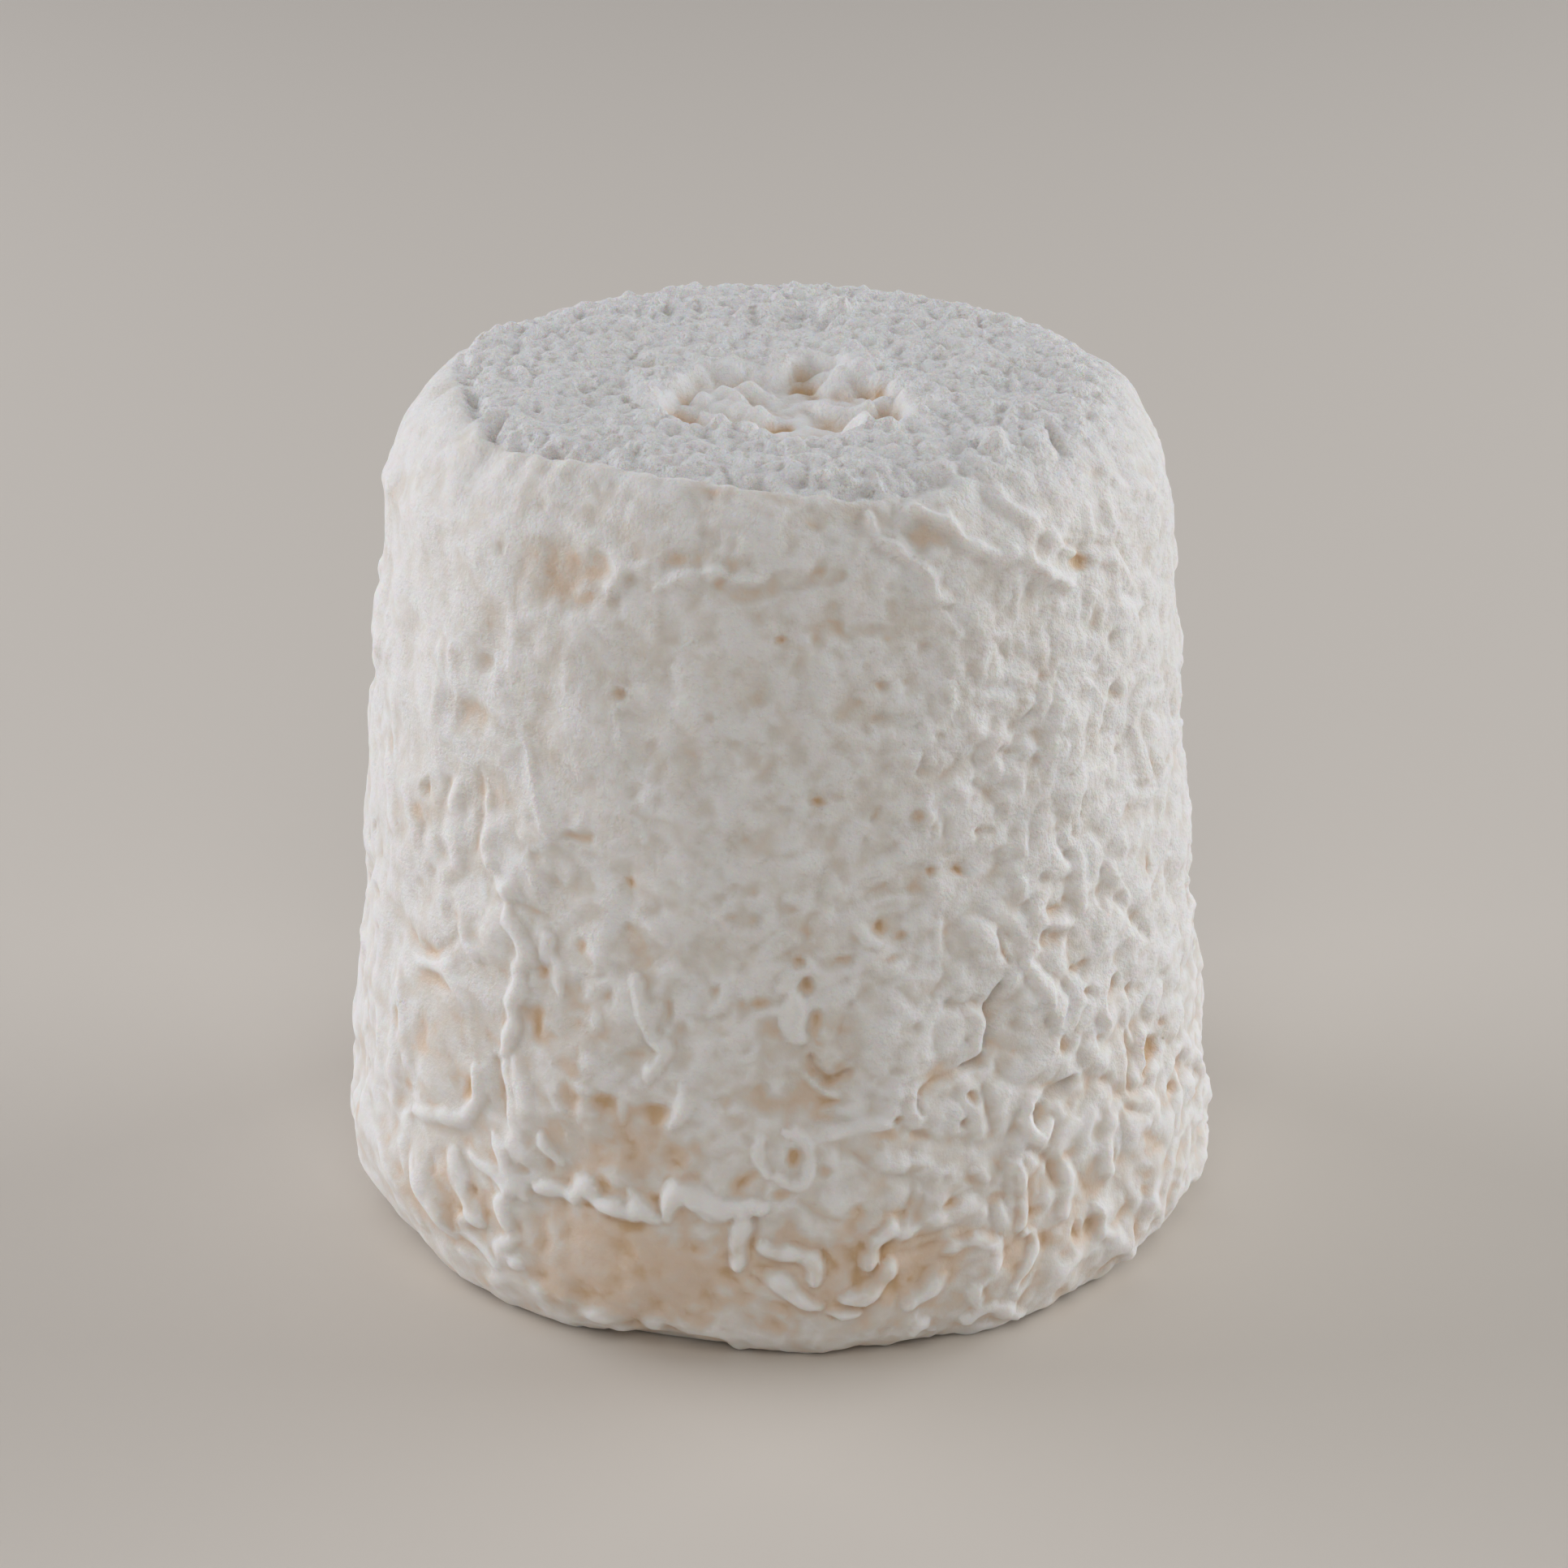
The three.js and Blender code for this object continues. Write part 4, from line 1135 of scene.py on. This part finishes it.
# Curd left standing inside the hollow: ridges first, then peaks and pits.
CURD_STROKES = strokes(
    (FOLD, 2.2, 0.5, 4.2, 1, 5, -1.6, 6.2, -3.6, 6.6, -5.4, 6, -7),
    (FOLD, 2.4, 0.55, -5.4, -4.2, -3.6, -5.2, -2, -6.2, -1, -7.4),
    (FOLD, 2.4, 0.45, -5, -7, -4, -8.4, -3, -9.8),
    (FOLD, 2.0, 0.55, 2.6, -4.8, 4.2, -5.6, 6, -6),
    (FOLD, 1.8, 0.5, -3.6, -2.8, -2, -2, -0.6, -2.8),
    (FOLD, 2.4, 0.45, -7, -2.2, -4.6, -2.4, -2.6, -3.4),
)
CURD_PEAKS = dents(
    (4.0, 0.2, 6.4, 5.2, -0.85, 0, -0.2, 1.0), (5.6, -11, 3.2, 3.0, -1.6, 0, -0.2, 1.0),
    (6.6, -9, 1.8, 1.8, -0.4, 0, -0.2), (-2, -1.7, 2.8, 2.4, -0.6, 0, -0.2),
    (-3.5, -12.1, 1.2, 1.2, -0.5, 0, -0.2), (-1.3, -12.9, 0.9, 0.9, -0.6, 0, -0.2),
    (0.8, -10.6, 3.4, 1.8, -0.35), (13.7, -14.6, 3.2, 3.6, -1.0, 80, -0.2, 1.6),
    (-19.2, -9.4, 1.8, 1.6, -0.3), (4, 13, 2.6, 3.4, -1.2, 0, -0.4, 2.0),
)
# Some pits' stains are the curd's own ochre and some are painted shade: the broad dish at (3.8,
# -7.9), the trench along the right wall at (7.2, -7.2) and the wall at (6.4, -2.8) carry painted
# shadow, and the left hollow and the front trench carry both.
CURD_PITS = dents(
    (1.9, -0.2, 2.8, 2.2, 0.7, 0, 0.75, 1.6), (1.9, 1.8, 2.4, 1.8, 0.4, 0, 0.35),
    (-6.4, -7, 2.8, 4.4, 0.9, 10, 0.6), (-6.6, -9.4, 1.8, 2.4, 0.5, 0, 0.3),
    (-5, -10.9, 1.8, 1.3, 0.6, 0, 0.9), (0.2, -8.1, 2.4, 1.5, 0.6, 0, 0.85),
    (3.8, -7.9, 3.2, 1.8, 0.8, -10, 0.6), (7.2, -7.2, 2.4, 6.0, 1.0, 6, 0.6),
    (6.4, -2.8, 2.0, 4.6, 0.9, 35, 0.5), (1.4, -12.8, 4.0, 1.5, 0.5, 0, 0.35),
    (-0.3, -2, 1.3, 1.1, 0.4, 0, 0.25), (-8.6, 0.8, 3.4, 1.8, 0.2, 0, 0.3),
    (11.4, -3, 3.4, 1.2, 0.1, 8, 0.2), (18, -4.8, 1.0, 0.8, 0.2, 0, 0.25),
)


class TopMap(Map):
    """The top's rind, seen from above: dull, finely crusted, and torn in the middle.

    Attributes:
        reach: How far the map runs each way from the middle.
        cell: The size of a cell.
        swell: How far the top's slow waves stand out.
        pillow: How far its lumps stand out.
        crust_rise: How far the crust stands out in the hollow, and what it gains outside.
        crumb_rise: How far loose crumbs of crust stand out.
        rim_rise: How far the hollow's rim stands out.
        torn_depth: How deep the hollow's floor is.
        rubble_rise: How far the floor's own lumps stand out.
    """

    reach = 30.0
    cell = 0.14
    swell = 0.12
    pillow = 0.15
    crust_rise = (0.03, 0.11)
    crumb_rise = 0.12
    rim_rise = 0.22
    torn_depth = 1.35
    rubble_rise = 0.12

    def __init__(self, rng: np.random.Generator) -> None:
        """Lays out an empty map round the middle."""
        super().__init__((-self.reach,) * 2, (self.reach,) * 2, self.cell, rng)

    def torn(self, wander: np.ndarray) -> np.ndarray:
        """Says how far each cell is inside the torn hollow's edge.

        Args:
            wander: A field that makes the edge ragged.

        Returns:
            Millimetres inside the edge, below 0 outside it.
        """
        edge = curve_through(TORN_EDGE + TORN_EDGE[:1], 0.2)
        middle = edge.mean(axis=0)
        u, v = self.u - middle[0], self.v - middle[1]
        bearing = np.arctan2(edge[:, 1] - middle[1], edge[:, 0] - middle[0])
        radius = np.hypot(*(edge - middle).T)
        order = np.argsort(bearing)
        edge_radius = np.interp(np.arctan2(v, u), bearing[order], radius[order], period=TURN)
        return edge_radius - np.hypot(u, v) + 0.12 * wander

    def grow(self) -> None:
        """Makes the whole top: its crust, the torn hollow, and the cracks and folds round it."""
        wander = self.noise(1.8)
        inside = self.torn(wander)
        outside = smooth_step(0.4, -0.8, inside)
        crust = self.cloud(2.2, 2, 0.8)
        self.relief += self.swell * self.cloud(9.0, 2) + self.pillow * self.pillows(4.0)
        self.relief += (self.crust_rise[0] + self.crust_rise[1] * outside) * crust
        crumbs = smooth_step(1.2, 2.4, self.noise(1.7))
        self.relief += self.crumb_rise * crumbs * outside
        self.stain_and_shade += 0.08 - 0.07 * crust
        self.powder += 0.3 + 0.7 * outside

        rim = np.exp(-(((inside + 1.2) / 1.2) ** 2))
        self.relief += self.rim_rise * rim * (1 + 0.5 * self.noise(4.0))
        floor = smooth_step(-0.2, 1.5, inside)
        rubble = self.cloud(4.5, 2, 0.5)
        self.relief += floor * (-self.torn_depth + self.rubble_rise * rubble)
        # Painted shade on the torn hollow's floor, lighter on its lumps.
        self.stain_and_shade += floor * np.clip(0.2 - 0.12 * rubble, 0.0, 0.4)
        for feature in CURD_PITS + CURD_PEAKS:
            feature.draw(self, feature.place, wander)
        for stroke in CURD_STROKES + TOP_STROKES:
            stroke.draw(self, stroke.path, wander)


class FootMap(Map):
    """The foot's rind: pressed flat, with the dimples of the board it ripened on."""

    reach = 32.0
    cell = 0.25
    dimple_depth = 0.4

    def __init__(self, rng: np.random.Generator) -> None:
        """Lays out an empty map round the middle."""
        super().__init__((-self.reach,) * 2, (self.reach,) * 2, self.cell, rng)

    def grow(self) -> None:
        """Makes the foot. Its relief only goes in, because it stands on the rest."""
        crust = self.cloud(5.0, 3, 0.6)
        self.relief -= self.dimple_depth * smooth_step(0.5, 1.8, crust)
        self.stain_and_shade += 0.2 + 0.2 * smooth_step(0.3, 1.6, crust)
        self.powder += 0.3


# ---------------------------------------------------------------- the rind


@dataclass
class Rind:
    """The cheese's skin: the drum moved out and in by the maps.

    Attributes:
        drum: The drum under it.
        lean: How far the top's high side stands above its mean, in millimetres.
        lean_bearing: Which side is high, in degrees from the front.
        lip_rise: How far the skin's torn edge stands above the crust inside it.
        lip_dip: How deep the gutter inside that edge is.
        lip_reach: How far out from its edge the raised skin fades away.
        gutter_inset: How far inside the edge the gutter's middle is.
        gutter_half: Half the gutter's width.
        lip_wander: How far the edge strays, in broad waves and in small ones.
        lip_fades: Over how many degrees the lip fades in at its first end and out at its last.
        hollows: The widths of hollow that darken, partly as bare skin in the creases and partly as
            painted shade, and how strongly each one does.
        uv_gap: The space left round each part of the bake layout.
        top_inset: How far in from the shoulder the top's part of that layout stops.
        most_triangles: How many triangles the finished mesh may have.
    """

    drum: Drum
    lean: float = 0.35
    lean_bearing: float = -155.0
    lip_rise: float = 0.34
    lip_dip: float = 0.4
    lip_reach: float = 2.4
    gutter_inset: float = 0.5
    gutter_half: float = 0.9
    lip_wander: tuple[float, float] = (0.05, 0.06)
    lip_fades: tuple[float, float] = (25.0, 16.0)
    hollows: tuple[tuple[float, float], ...] = ((0.5, 0.9), (1.5, 0.6))
    uv_gap: float = 1.5
    top_inset: float = 3.0
    most_triangles: int = 196000

    def build(self) -> bpy.types.Object:
        """Builds the rind, with its attributes and its bake layout.

        Returns:
            The finished mesh object.
        """
        rng = np.random.default_rng(SEED)
        self.side = SideMap(self.drum, rng)
        self.top = TopMap(rng)
        self.foot = FootMap(rng)
        for part in (self.side, self.top, self.foot):
            part.grow()
        rind = self.drum.build("cheese_rind")
        self.raise_relief(rind)
        self.thin(rind)
        self.lay_out(rind)
        select_only(rind)
        bpy.ops.object.shade_smooth()
        return rind

    def shares(self, place: np.ndarray) -> tuple[np.ndarray, np.ndarray, np.ndarray]:
        """Says how much of the top's and the foot's map each point takes, and how the lip lies.

        Args:
            place: The drum's points, in millimetres.

        Returns:
            The top's share, the foot's share, and the lip's own relief.
        """
        radius = np.hypot(place[:, 0], place[:, 1])
        bearing = np.degrees(np.arctan2(place[:, 0], -place[:, 1]))
        around = np.radians(bearing) * self.side.radius
        level = np.full(len(place), self.drum.height)
        lip = np.array(LIP)
        ragged = self.side.read(self.side.ragged, around, level)
        wander = self.side.read(self.side.wander, around, level)
        edge = np.interp(bearing, lip[:, 0], lip[:, 1])
        edge += self.lip_wander[0] * ragged + self.lip_wander[1] * wander
        crisp = smooth_step(lip[0, 0], lip[0, 0] + self.lip_fades[0], bearing)
        crisp *= smooth_step(lip[-1, 0], lip[-1, 0] - self.lip_fades[1], bearing)
        soft = 0.2 + 2.6 * (1 - crisp)
        high = place[:, 2] > self.drum.height / 2
        top = np.where(high, smooth_step(1.0, -1.0, (radius - edge) / soft), 0.0)
        under = smooth_step(self.drum.foot_radius + 0.4, self.drum.foot_radius - 0.8, radius)
        foot = np.where(place[:, 2] < FOOT_SKIN, under, 0.0)
        past = radius - edge
        skin = smooth_step(-0.15, 0.15, past) * np.exp(-((past / self.lip_reach) ** 2))
        gutter = soft_bump(np.abs(past + self.gutter_inset) / self.gutter_half)
        uneven = np.clip(1 + 0.35 * ragged, 0.3, 1.6)
        return top, foot, high * crisp * uneven * (self.lip_rise * skin - self.lip_dip * gutter)

    def raise_relief(self, rind: bpy.types.Object) -> None:
        """Moves every point of the drum by its maps, and stores what the finish needs.

        Args:
            rind: The drum, which becomes the rind.
        """
        mesh = rind.data
        place = numbers(mesh.vertices, "co") / MM
        normal = numbers(mesh.vertex_normals, "vector")

        top, foot, lip = self.shares(place)
        side = 1 - top - foot
        radius = np.hypot(place[:, 0], place[:, 1])
        around = np.arctan2(place[:, 0], -place[:, 1]) * self.side.radius
        climbed = self.drum.climb(place[:, 2])
        top_edge = self.drum.shoulder_radius - self.drum.rounding
        inwards = np.clip(top_edge - radius, 0, self.side.margin + 1)
        climbed += np.where(place[:, 2] > self.drum.height / 2, inwards, 0)

        def mixed(name: str) -> np.ndarray:
            """Reads one kind of field off all three maps, by each point's shares."""
            return (
                side * self.side.read(getattr(self.side, name), around, climbed)
                + top * self.top.read(getattr(self.top, name), place[:, 0], place[:, 1])
                + foot * self.foot.read(getattr(self.foot, name), place[:, 0], place[:, 1])
            )

        # The hollow term is partly bare skin showing in creases and partly painted shade: how far
        # each point sits below its blurred surroundings darkens its colour, less where the mould is
        # thick.
        for part in (self.side, self.top, self.foot):
            sunk = sum(
                share * (part.blurred(part.relief, reach) - part.relief)
                for reach, share in self.hollows
            )
            part.hollow = np.clip(sunk, -0.4, 0.5) * (1 - 0.6 * np.clip(part.powder, 0, 1))

        place += normal * (mixed("relief") + lip)[:, None]
        bearing = np.arctan2(place[:, 0], -place[:, 1]) - math.radians(self.lean_bearing)
        tilt = radius / self.drum.shoulder_radius * np.cos(bearing) * self.lean
        place[:, 2] += place[:, 2] / self.drum.height * tilt
        place[:, 2] = np.maximum(place[:, 2], 0.0)
        mesh.vertices.foreach_set("co", (place * MM).ravel())
        mesh.update()

        # Painted shade enters the colour here: half the hollow term, and a painted shadow line
        # along the gutter inside the lip.
        stain_and_shade = mixed("stain_and_shade") + 0.5 * mixed("hollow") + 0.3 * np.maximum(-lip, 0)
        for name, value in (
            ("stain_and_shade", np.clip(stain_and_shade, 0, 1)),
            ("powder", np.clip(mixed("powder"), 0, 1)),
            ("crust", top),
        ):
            layer = mesh.attributes.new(name, "FLOAT", "POINT")
            layer.data.foreach_set("value", value.astype(np.float32))

    def thin(self, rind: bpy.types.Object) -> None:
        """Takes triangles out where the skin is plain, and leaves them where it is wrinkled."""
        triangles = sum(len(face.vertices) - 2 for face in rind.data.polygons)
        log.info("rind before thinning: %d triangles", triangles)
        select_only(rind)
        fewer = rind.modifiers.new("fewer_faces", "DECIMATE")
        fewer.ratio = min(1.0, self.most_triangles / triangles)
        bpy.ops.object.modifier_apply(modifier=fewer.name)
        place = numbers(rind.data.vertices, "co")
        place[:, 2] = np.maximum(place[:, 2], 0.0)
        rind.data.vertices.foreach_set("co", place.ravel())

    def lay_out(self, rind: bpy.types.Object) -> None:
        """Lays the skin out flat for baking: the side in two halves, the top and the foot.

        Args:
            rind: The finished mesh.
        """
        mesh = rind.data
        point = (numbers(mesh.vertices, "co") / MM)[numbers(mesh.loops, "vertex_index", 1)]
        corners = numbers(mesh.polygons, "loop_total", 1)
        middle = np.repeat(numbers(mesh.polygons, "center") / MM, corners, axis=0)

        half = math.pi * self.side.radius
        bearing = np.arctan2(point[:, 0], -point[:, 1])
        facing = np.arctan2(middle[:, 0], -middle[:, 1])
        bearing = facing + (bearing - facing + math.pi) % TURN - math.pi
        back = np.abs(facing) > math.pi / 2
        bearing = np.where(back, bearing % TURN, bearing)
        tall = float(self.drum.climb(np.array(self.drum.height)))
        gap = self.uv_gap
        u = np.where(back, bearing - math.pi, bearing) * self.side.radius + half / 2 + gap
        v = self.drum.climb(point[:, 2]) + gap + np.where(back, tall + gap, 0)
        reach = np.hypot(middle[:, 0], middle[:, 1])
        flat_top = reach < self.drum.shoulder_radius - self.top_inset
        on_top = (middle[:, 2] > self.drum.shoulder_height) & flat_top
        under = (middle[:, 2] < FOOT_SKIN) & (reach < self.drum.foot_radius)
        disc = self.drum.belly_radius
        column = half + 3 * gap + disc
        u = np.where(on_top | under, point[:, 0] + column, u)
        v = np.where(on_top, point[:, 1] + disc + gap, v)
        v = np.where(under, point[:, 1] + 3 * disc + 2 * gap, v)
        size = max(column + disc + gap, 2 * tall + 4 * gap)
        layer = mesh.uv_layers.new(name="OFBake")
        layer.data.foreach_set("uv", np.stack([u, v], axis=1).ravel() / size)


# ---------------------------------------------------------------- finish


@dataclass(frozen=True)
class MouldRind:
    """A white Geotrichum rind on goat's curd: matt bloom, with waxy skin where it is bare.

    Light goes a millimetre or two into the curd, which softens every shadow and warms the creases.
    The bloom's threads are about 0.02 mm thick, too fine to show, so its grain is drawn at 0.28 mm.

    Attributes:
        bloom: Thick white mould.
        veil: Thin mould.
        skin: Bare waxy skin.
        ochre: The floor of an old pit.
        crust: The dull crust of the top.
        shade: The specks between the grains of mould.
        to_veil: The stain over which bloom gives way to veil.
        to_skin: The stain over which veil gives way to skin.
        to_ochre: The stain over which skin gives way to ochre.
        roughness_skin: How rough bare skin is.
        roughness_bloom: How rough mould is.
        grain: The size of the grain, in millimetres.
        mottle: The size of the mottling, in millimetres.
        bump: How high the grain stands, in millimetres.
        depth: How far light goes in, in millimetres.
        tint_of_depth: How far red, green and blue go, as shares of that.
    """

    bloom: str = "F2F1F0"
    veil: str = "E3DDD5"
    skin: str = "E3D0BD"
    ochre: str = "D6B48A"
    crust: str = "F3F3F4"
    shade: str = "CDC8C0"
    to_veil: tuple[float, float] = (-0.04, 0.34)
    to_skin: tuple[float, float] = (0.26, 0.62)
    to_ochre: tuple[float, float] = (0.58, 1.08)
    roughness_skin: float = 0.48
    roughness_bloom: float = 0.88
    grain: float = 0.28
    mottle: float = 1.1
    bump: float = 0.16
    depth: float = 1.0
    tint_of_depth: tuple[float, float, float] = (1.0, 0.62, 0.38)

    def material(self) -> bpy.types.Material:
        """Builds the material.

        Returns:
            A material that reads the rind's own attributes and Object coordinates.
        """
        material = bpy.data.materials.new("mould_rind")
        material.use_nodes = True
        tree = material.node_tree
        tree.nodes.clear()

        def node(kind: str, settings: dict, links: dict | None = None) -> bpy.types.Node:
            """Adds one node to this material."""
            return add_node(tree, kind, settings, links or {})

        def read(name: str) -> bpy.types.NodeSocket:
            """Reads one of the rind's attributes."""
            return node("ShaderNodeAttribute", {"attribute_name": name}).outputs["Fac"]

        def maths(operation: str, *values: Value) -> bpy.types.NodeSocket:
            """Does one sum on numbers or sockets."""
            settings, links = {"operation": operation}, {}
            for i, value in enumerate(values):
                (links if isinstance(value, bpy.types.NodeSocket) else settings)[i] = value
            return node("ShaderNodeMath", settings, links).outputs[0]

        def ramp(source: bpy.types.NodeSocket, low: float, high: float) -> bpy.types.NodeSocket:
            """Turns low to high into 0 to 1, softly."""
            settings = {"interpolation_type": "SMOOTHSTEP", "From Min": low, "From Max": high}
            return node("ShaderNodeMapRange", settings, {"Value": source}).outputs["Result"]

        def blend(share: Value, under: Value, over: Value) -> bpy.types.NodeSocket:
            """Lays one colour over another by a share."""
            settings, links = {"data_type": "RGBA"}, {0: share}
            for i, value in ((6, under), (7, over)):
                (links if isinstance(value, bpy.types.NodeSocket) else settings)[i] = value
            return node("ShaderNodeMix", settings, links).outputs[2]

        place = node("ShaderNodeTexCoord", {}).outputs["Object"]

        def grain(size: float, detail: float, rough: float = 0.6) -> bpy.types.NodeSocket:
            """Makes noise about 0, whose lumps are a size in millimetres apart."""
            settings = {"Scale": 1 / (size * MM), "Detail": detail, "Roughness": rough}
            noise = node("ShaderNodeTexNoise", settings, {"Vector": place}).outputs["Fac"]
            return maths("SUBTRACT", noise, 0.5)

        fine = grain(self.grain, 2.0)
        mottle = grain(self.mottle, 4.0, 0.65)
        stain_and_shade, powder, crust = (read(name) for name in ("stain_and_shade", "powder", "crust"))

        uneven = maths("MULTIPLY_ADD", mottle, 0.3, stain_and_shade)
        colour = linear(self.bloom)
        for limits, next_colour in (
            (self.to_veil, self.veil), (self.to_skin, self.skin), (self.to_ochre, self.ochre)
        ):
            colour = blend(ramp(uneven, *limits), colour, linear(next_colour))
        dull = maths("MULTIPLY", crust, maths("SUBTRACT", 0.85, stain_and_shade))
        colour = blend(dull, colour, linear(self.crust))
        flecks = maths("MULTIPLY", ramp(maths("ADD", fine, mottle), 0.05, 0.4), powder)
        specked = maths("MULTIPLY", flecks, maths("MULTIPLY_ADD", crust, 0.3, 0.5))
        colour = blend(specked, colour, linear(self.shade))

        cover = maths("SUBTRACT", 1.0, ramp(uneven, 0.05, 0.55))
        span = self.roughness_bloom - self.roughness_skin
        matt = maths("MULTIPLY_ADD", cover, span, self.roughness_skin)
        height = maths("MULTIPLY_ADD", mottle, 0.9, fine)
        height = maths("MULTIPLY", height, maths("MULTIPLY_ADD", powder, 0.8, 0.3))
        height = maths("MULTIPLY", height, maths("ADD", crust, 1.0))
        bump = node(
            "ShaderNodeBump", {"Strength": 1.0, "Distance": self.bump * MM}, {"Height": height}
        ).outputs["Normal"]
        shader = node(
            "ShaderNodeBsdfPrincipled",
            {
                "Subsurface Weight": 0.6,
                "Subsurface Radius": self.tint_of_depth,
                "Subsurface Scale": self.depth * MM,
                "Specular IOR Level": 0.4,
                "Sheen Weight": 0.2,
                "Sheen Roughness": 0.6,
            },
            {"Base Color": colour, "Roughness": matt, "Normal": bump},
        )
        node("ShaderNodeOutputMaterial", {}, {"Surface": shader.outputs["BSDF"]})
        return material


# ---------------------------------------------------------------- studio


@dataclass(frozen=True)
class Softbox:
    """One large soft light.

    Attributes:
        name: Its name.
        bearing: Which way it hangs, in degrees from the front towards +X.
        climb: How far up from level, in degrees.
        distance: How far from the cheese, in metres.
        size: Its width, in metres.
        power: Its power, in watts.
        colour: Its colour.
    """

    name: str
    bearing: float
    climb: float
    distance: float
    size: float
    power: float
    colour: str

    def hang(self, target: Vector) -> None:
        """Hangs the light, turned towards the cheese."""
        light = bpy.data.lights.new(self.name, "AREA")
        light.shape = "DISK"
        light.size = self.size
        light.energy = self.power
        light.color = linear(self.colour)[:3]
        lamp = bpy.data.objects.new(self.name, light)
        turn, rise = math.radians(self.bearing), math.radians(self.climb)
        flat = Vector((math.sin(turn), -math.cos(turn), 0)) * math.cos(rise)
        away = (flat + Vector((0, 0, math.sin(rise)))) * self.distance
        lamp.location = target + away
        lamp.rotation_euler = (-away).to_track_quat("-Z", "Y").to_euler()
        bpy.context.scene.collection.objects.link(lamp)


@dataclass(frozen=True)
class Studio:
    """A pale floor, a softbox behind each shoulder of the cheese, soft fill, and the camera."""

    floor_width: float = 8.0
    floor_roughness: float = 0.9
    floor_colour: str = "DAD3CA"
    air_colour: str = "F1F1F2"
    air_strength: float = 0.25
    camera_aside: float = 0.00036
    camera_back: float = 0.2738
    camera_height: float = 0.1438
    camera_pitch: float = 22.65
    lens: float = 96.63
    softboxes: tuple[Softbox, ...] = (
        Softbox("left_softbox", -107, 16, 0.70, 0.60, 3.4, "F8F9FF"),
        Softbox("right_softbox", 107, 16, 0.70, 0.60, 3.25, "F9FBFF"),
        Softbox("front_softbox", 0, 44, 0.80, 0.50, 1.4, "FFFCF8"),
    )

    def build(self, middle: Vector) -> None:
        """Builds the studio.

        Args:
            middle: The middle of the cheese.
        """
        bpy.context.scene.view_settings.view_transform = "Standard"
        self.lay_floor()
        self.light_air()
        for softbox in self.softboxes:
            softbox.hang(middle)
        self.place_camera()

    def lay_floor(self) -> None:
        """Lays a wide matt floor just under the foot."""
        deselect_all()
        bpy.ops.mesh.primitive_plane_add(size=self.floor_width, location=(0, 0, 0))
        floor = bpy.context.active_object
        floor.name = "studio_floor"
        material = bpy.data.materials.new("matt_paper")
        material.use_nodes = True
        shader = material.node_tree.nodes["Principled BSDF"]
        shader.inputs["Base Color"].default_value = linear(self.floor_colour)
        shader.inputs["Roughness"].default_value = self.floor_roughness
        floor.data.materials.append(material)

    def light_air(self) -> None:
        """Fills the room with an even, slightly cool light."""
        world = bpy.data.worlds.new("studio_air")
        bpy.context.scene.world = world
        world.use_nodes = True
        background = world.node_tree.nodes["Background"]
        background.inputs["Color"].default_value = linear(self.air_colour)
        background.inputs["Strength"].default_value = self.air_strength

    def place_camera(self) -> None:
        """Stands the camera in front of the cheese, looking a little down on it."""
        camera = bpy.data.cameras.new("camera")
        camera.lens = self.lens
        camera.clip_start = 0.01
        stand = bpy.data.objects.new("camera", camera)
        stand.location = (self.camera_aside, -self.camera_back, self.camera_height)
        stand.rotation_euler = (math.radians(90 - self.camera_pitch), 0, 0)
        bpy.context.scene.collection.objects.link(stand)
        bpy.context.scene.camera = stand


def main() -> None:
    """Builds the cheese and its studio, and reports each piece."""
    logging.basicConfig(level=logging.INFO, format="%(name)s: %(message)s")
    low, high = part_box(NODE)
    rind_builder = Rind(Drum.in_box(low, high, Rind.lean))
    Studio().build((Vector(low) + Vector(high)) / 2)

    rind = rind_builder.build()
    rind.data.materials.clear()
    rind.data.materials.append(MouldRind().material())
    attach(rind, BODY)
    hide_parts(NODE)
    log.info("%s: %d faces", rind.name, len(rind.data.polygons))


if __name__ == "__main__":
    main()
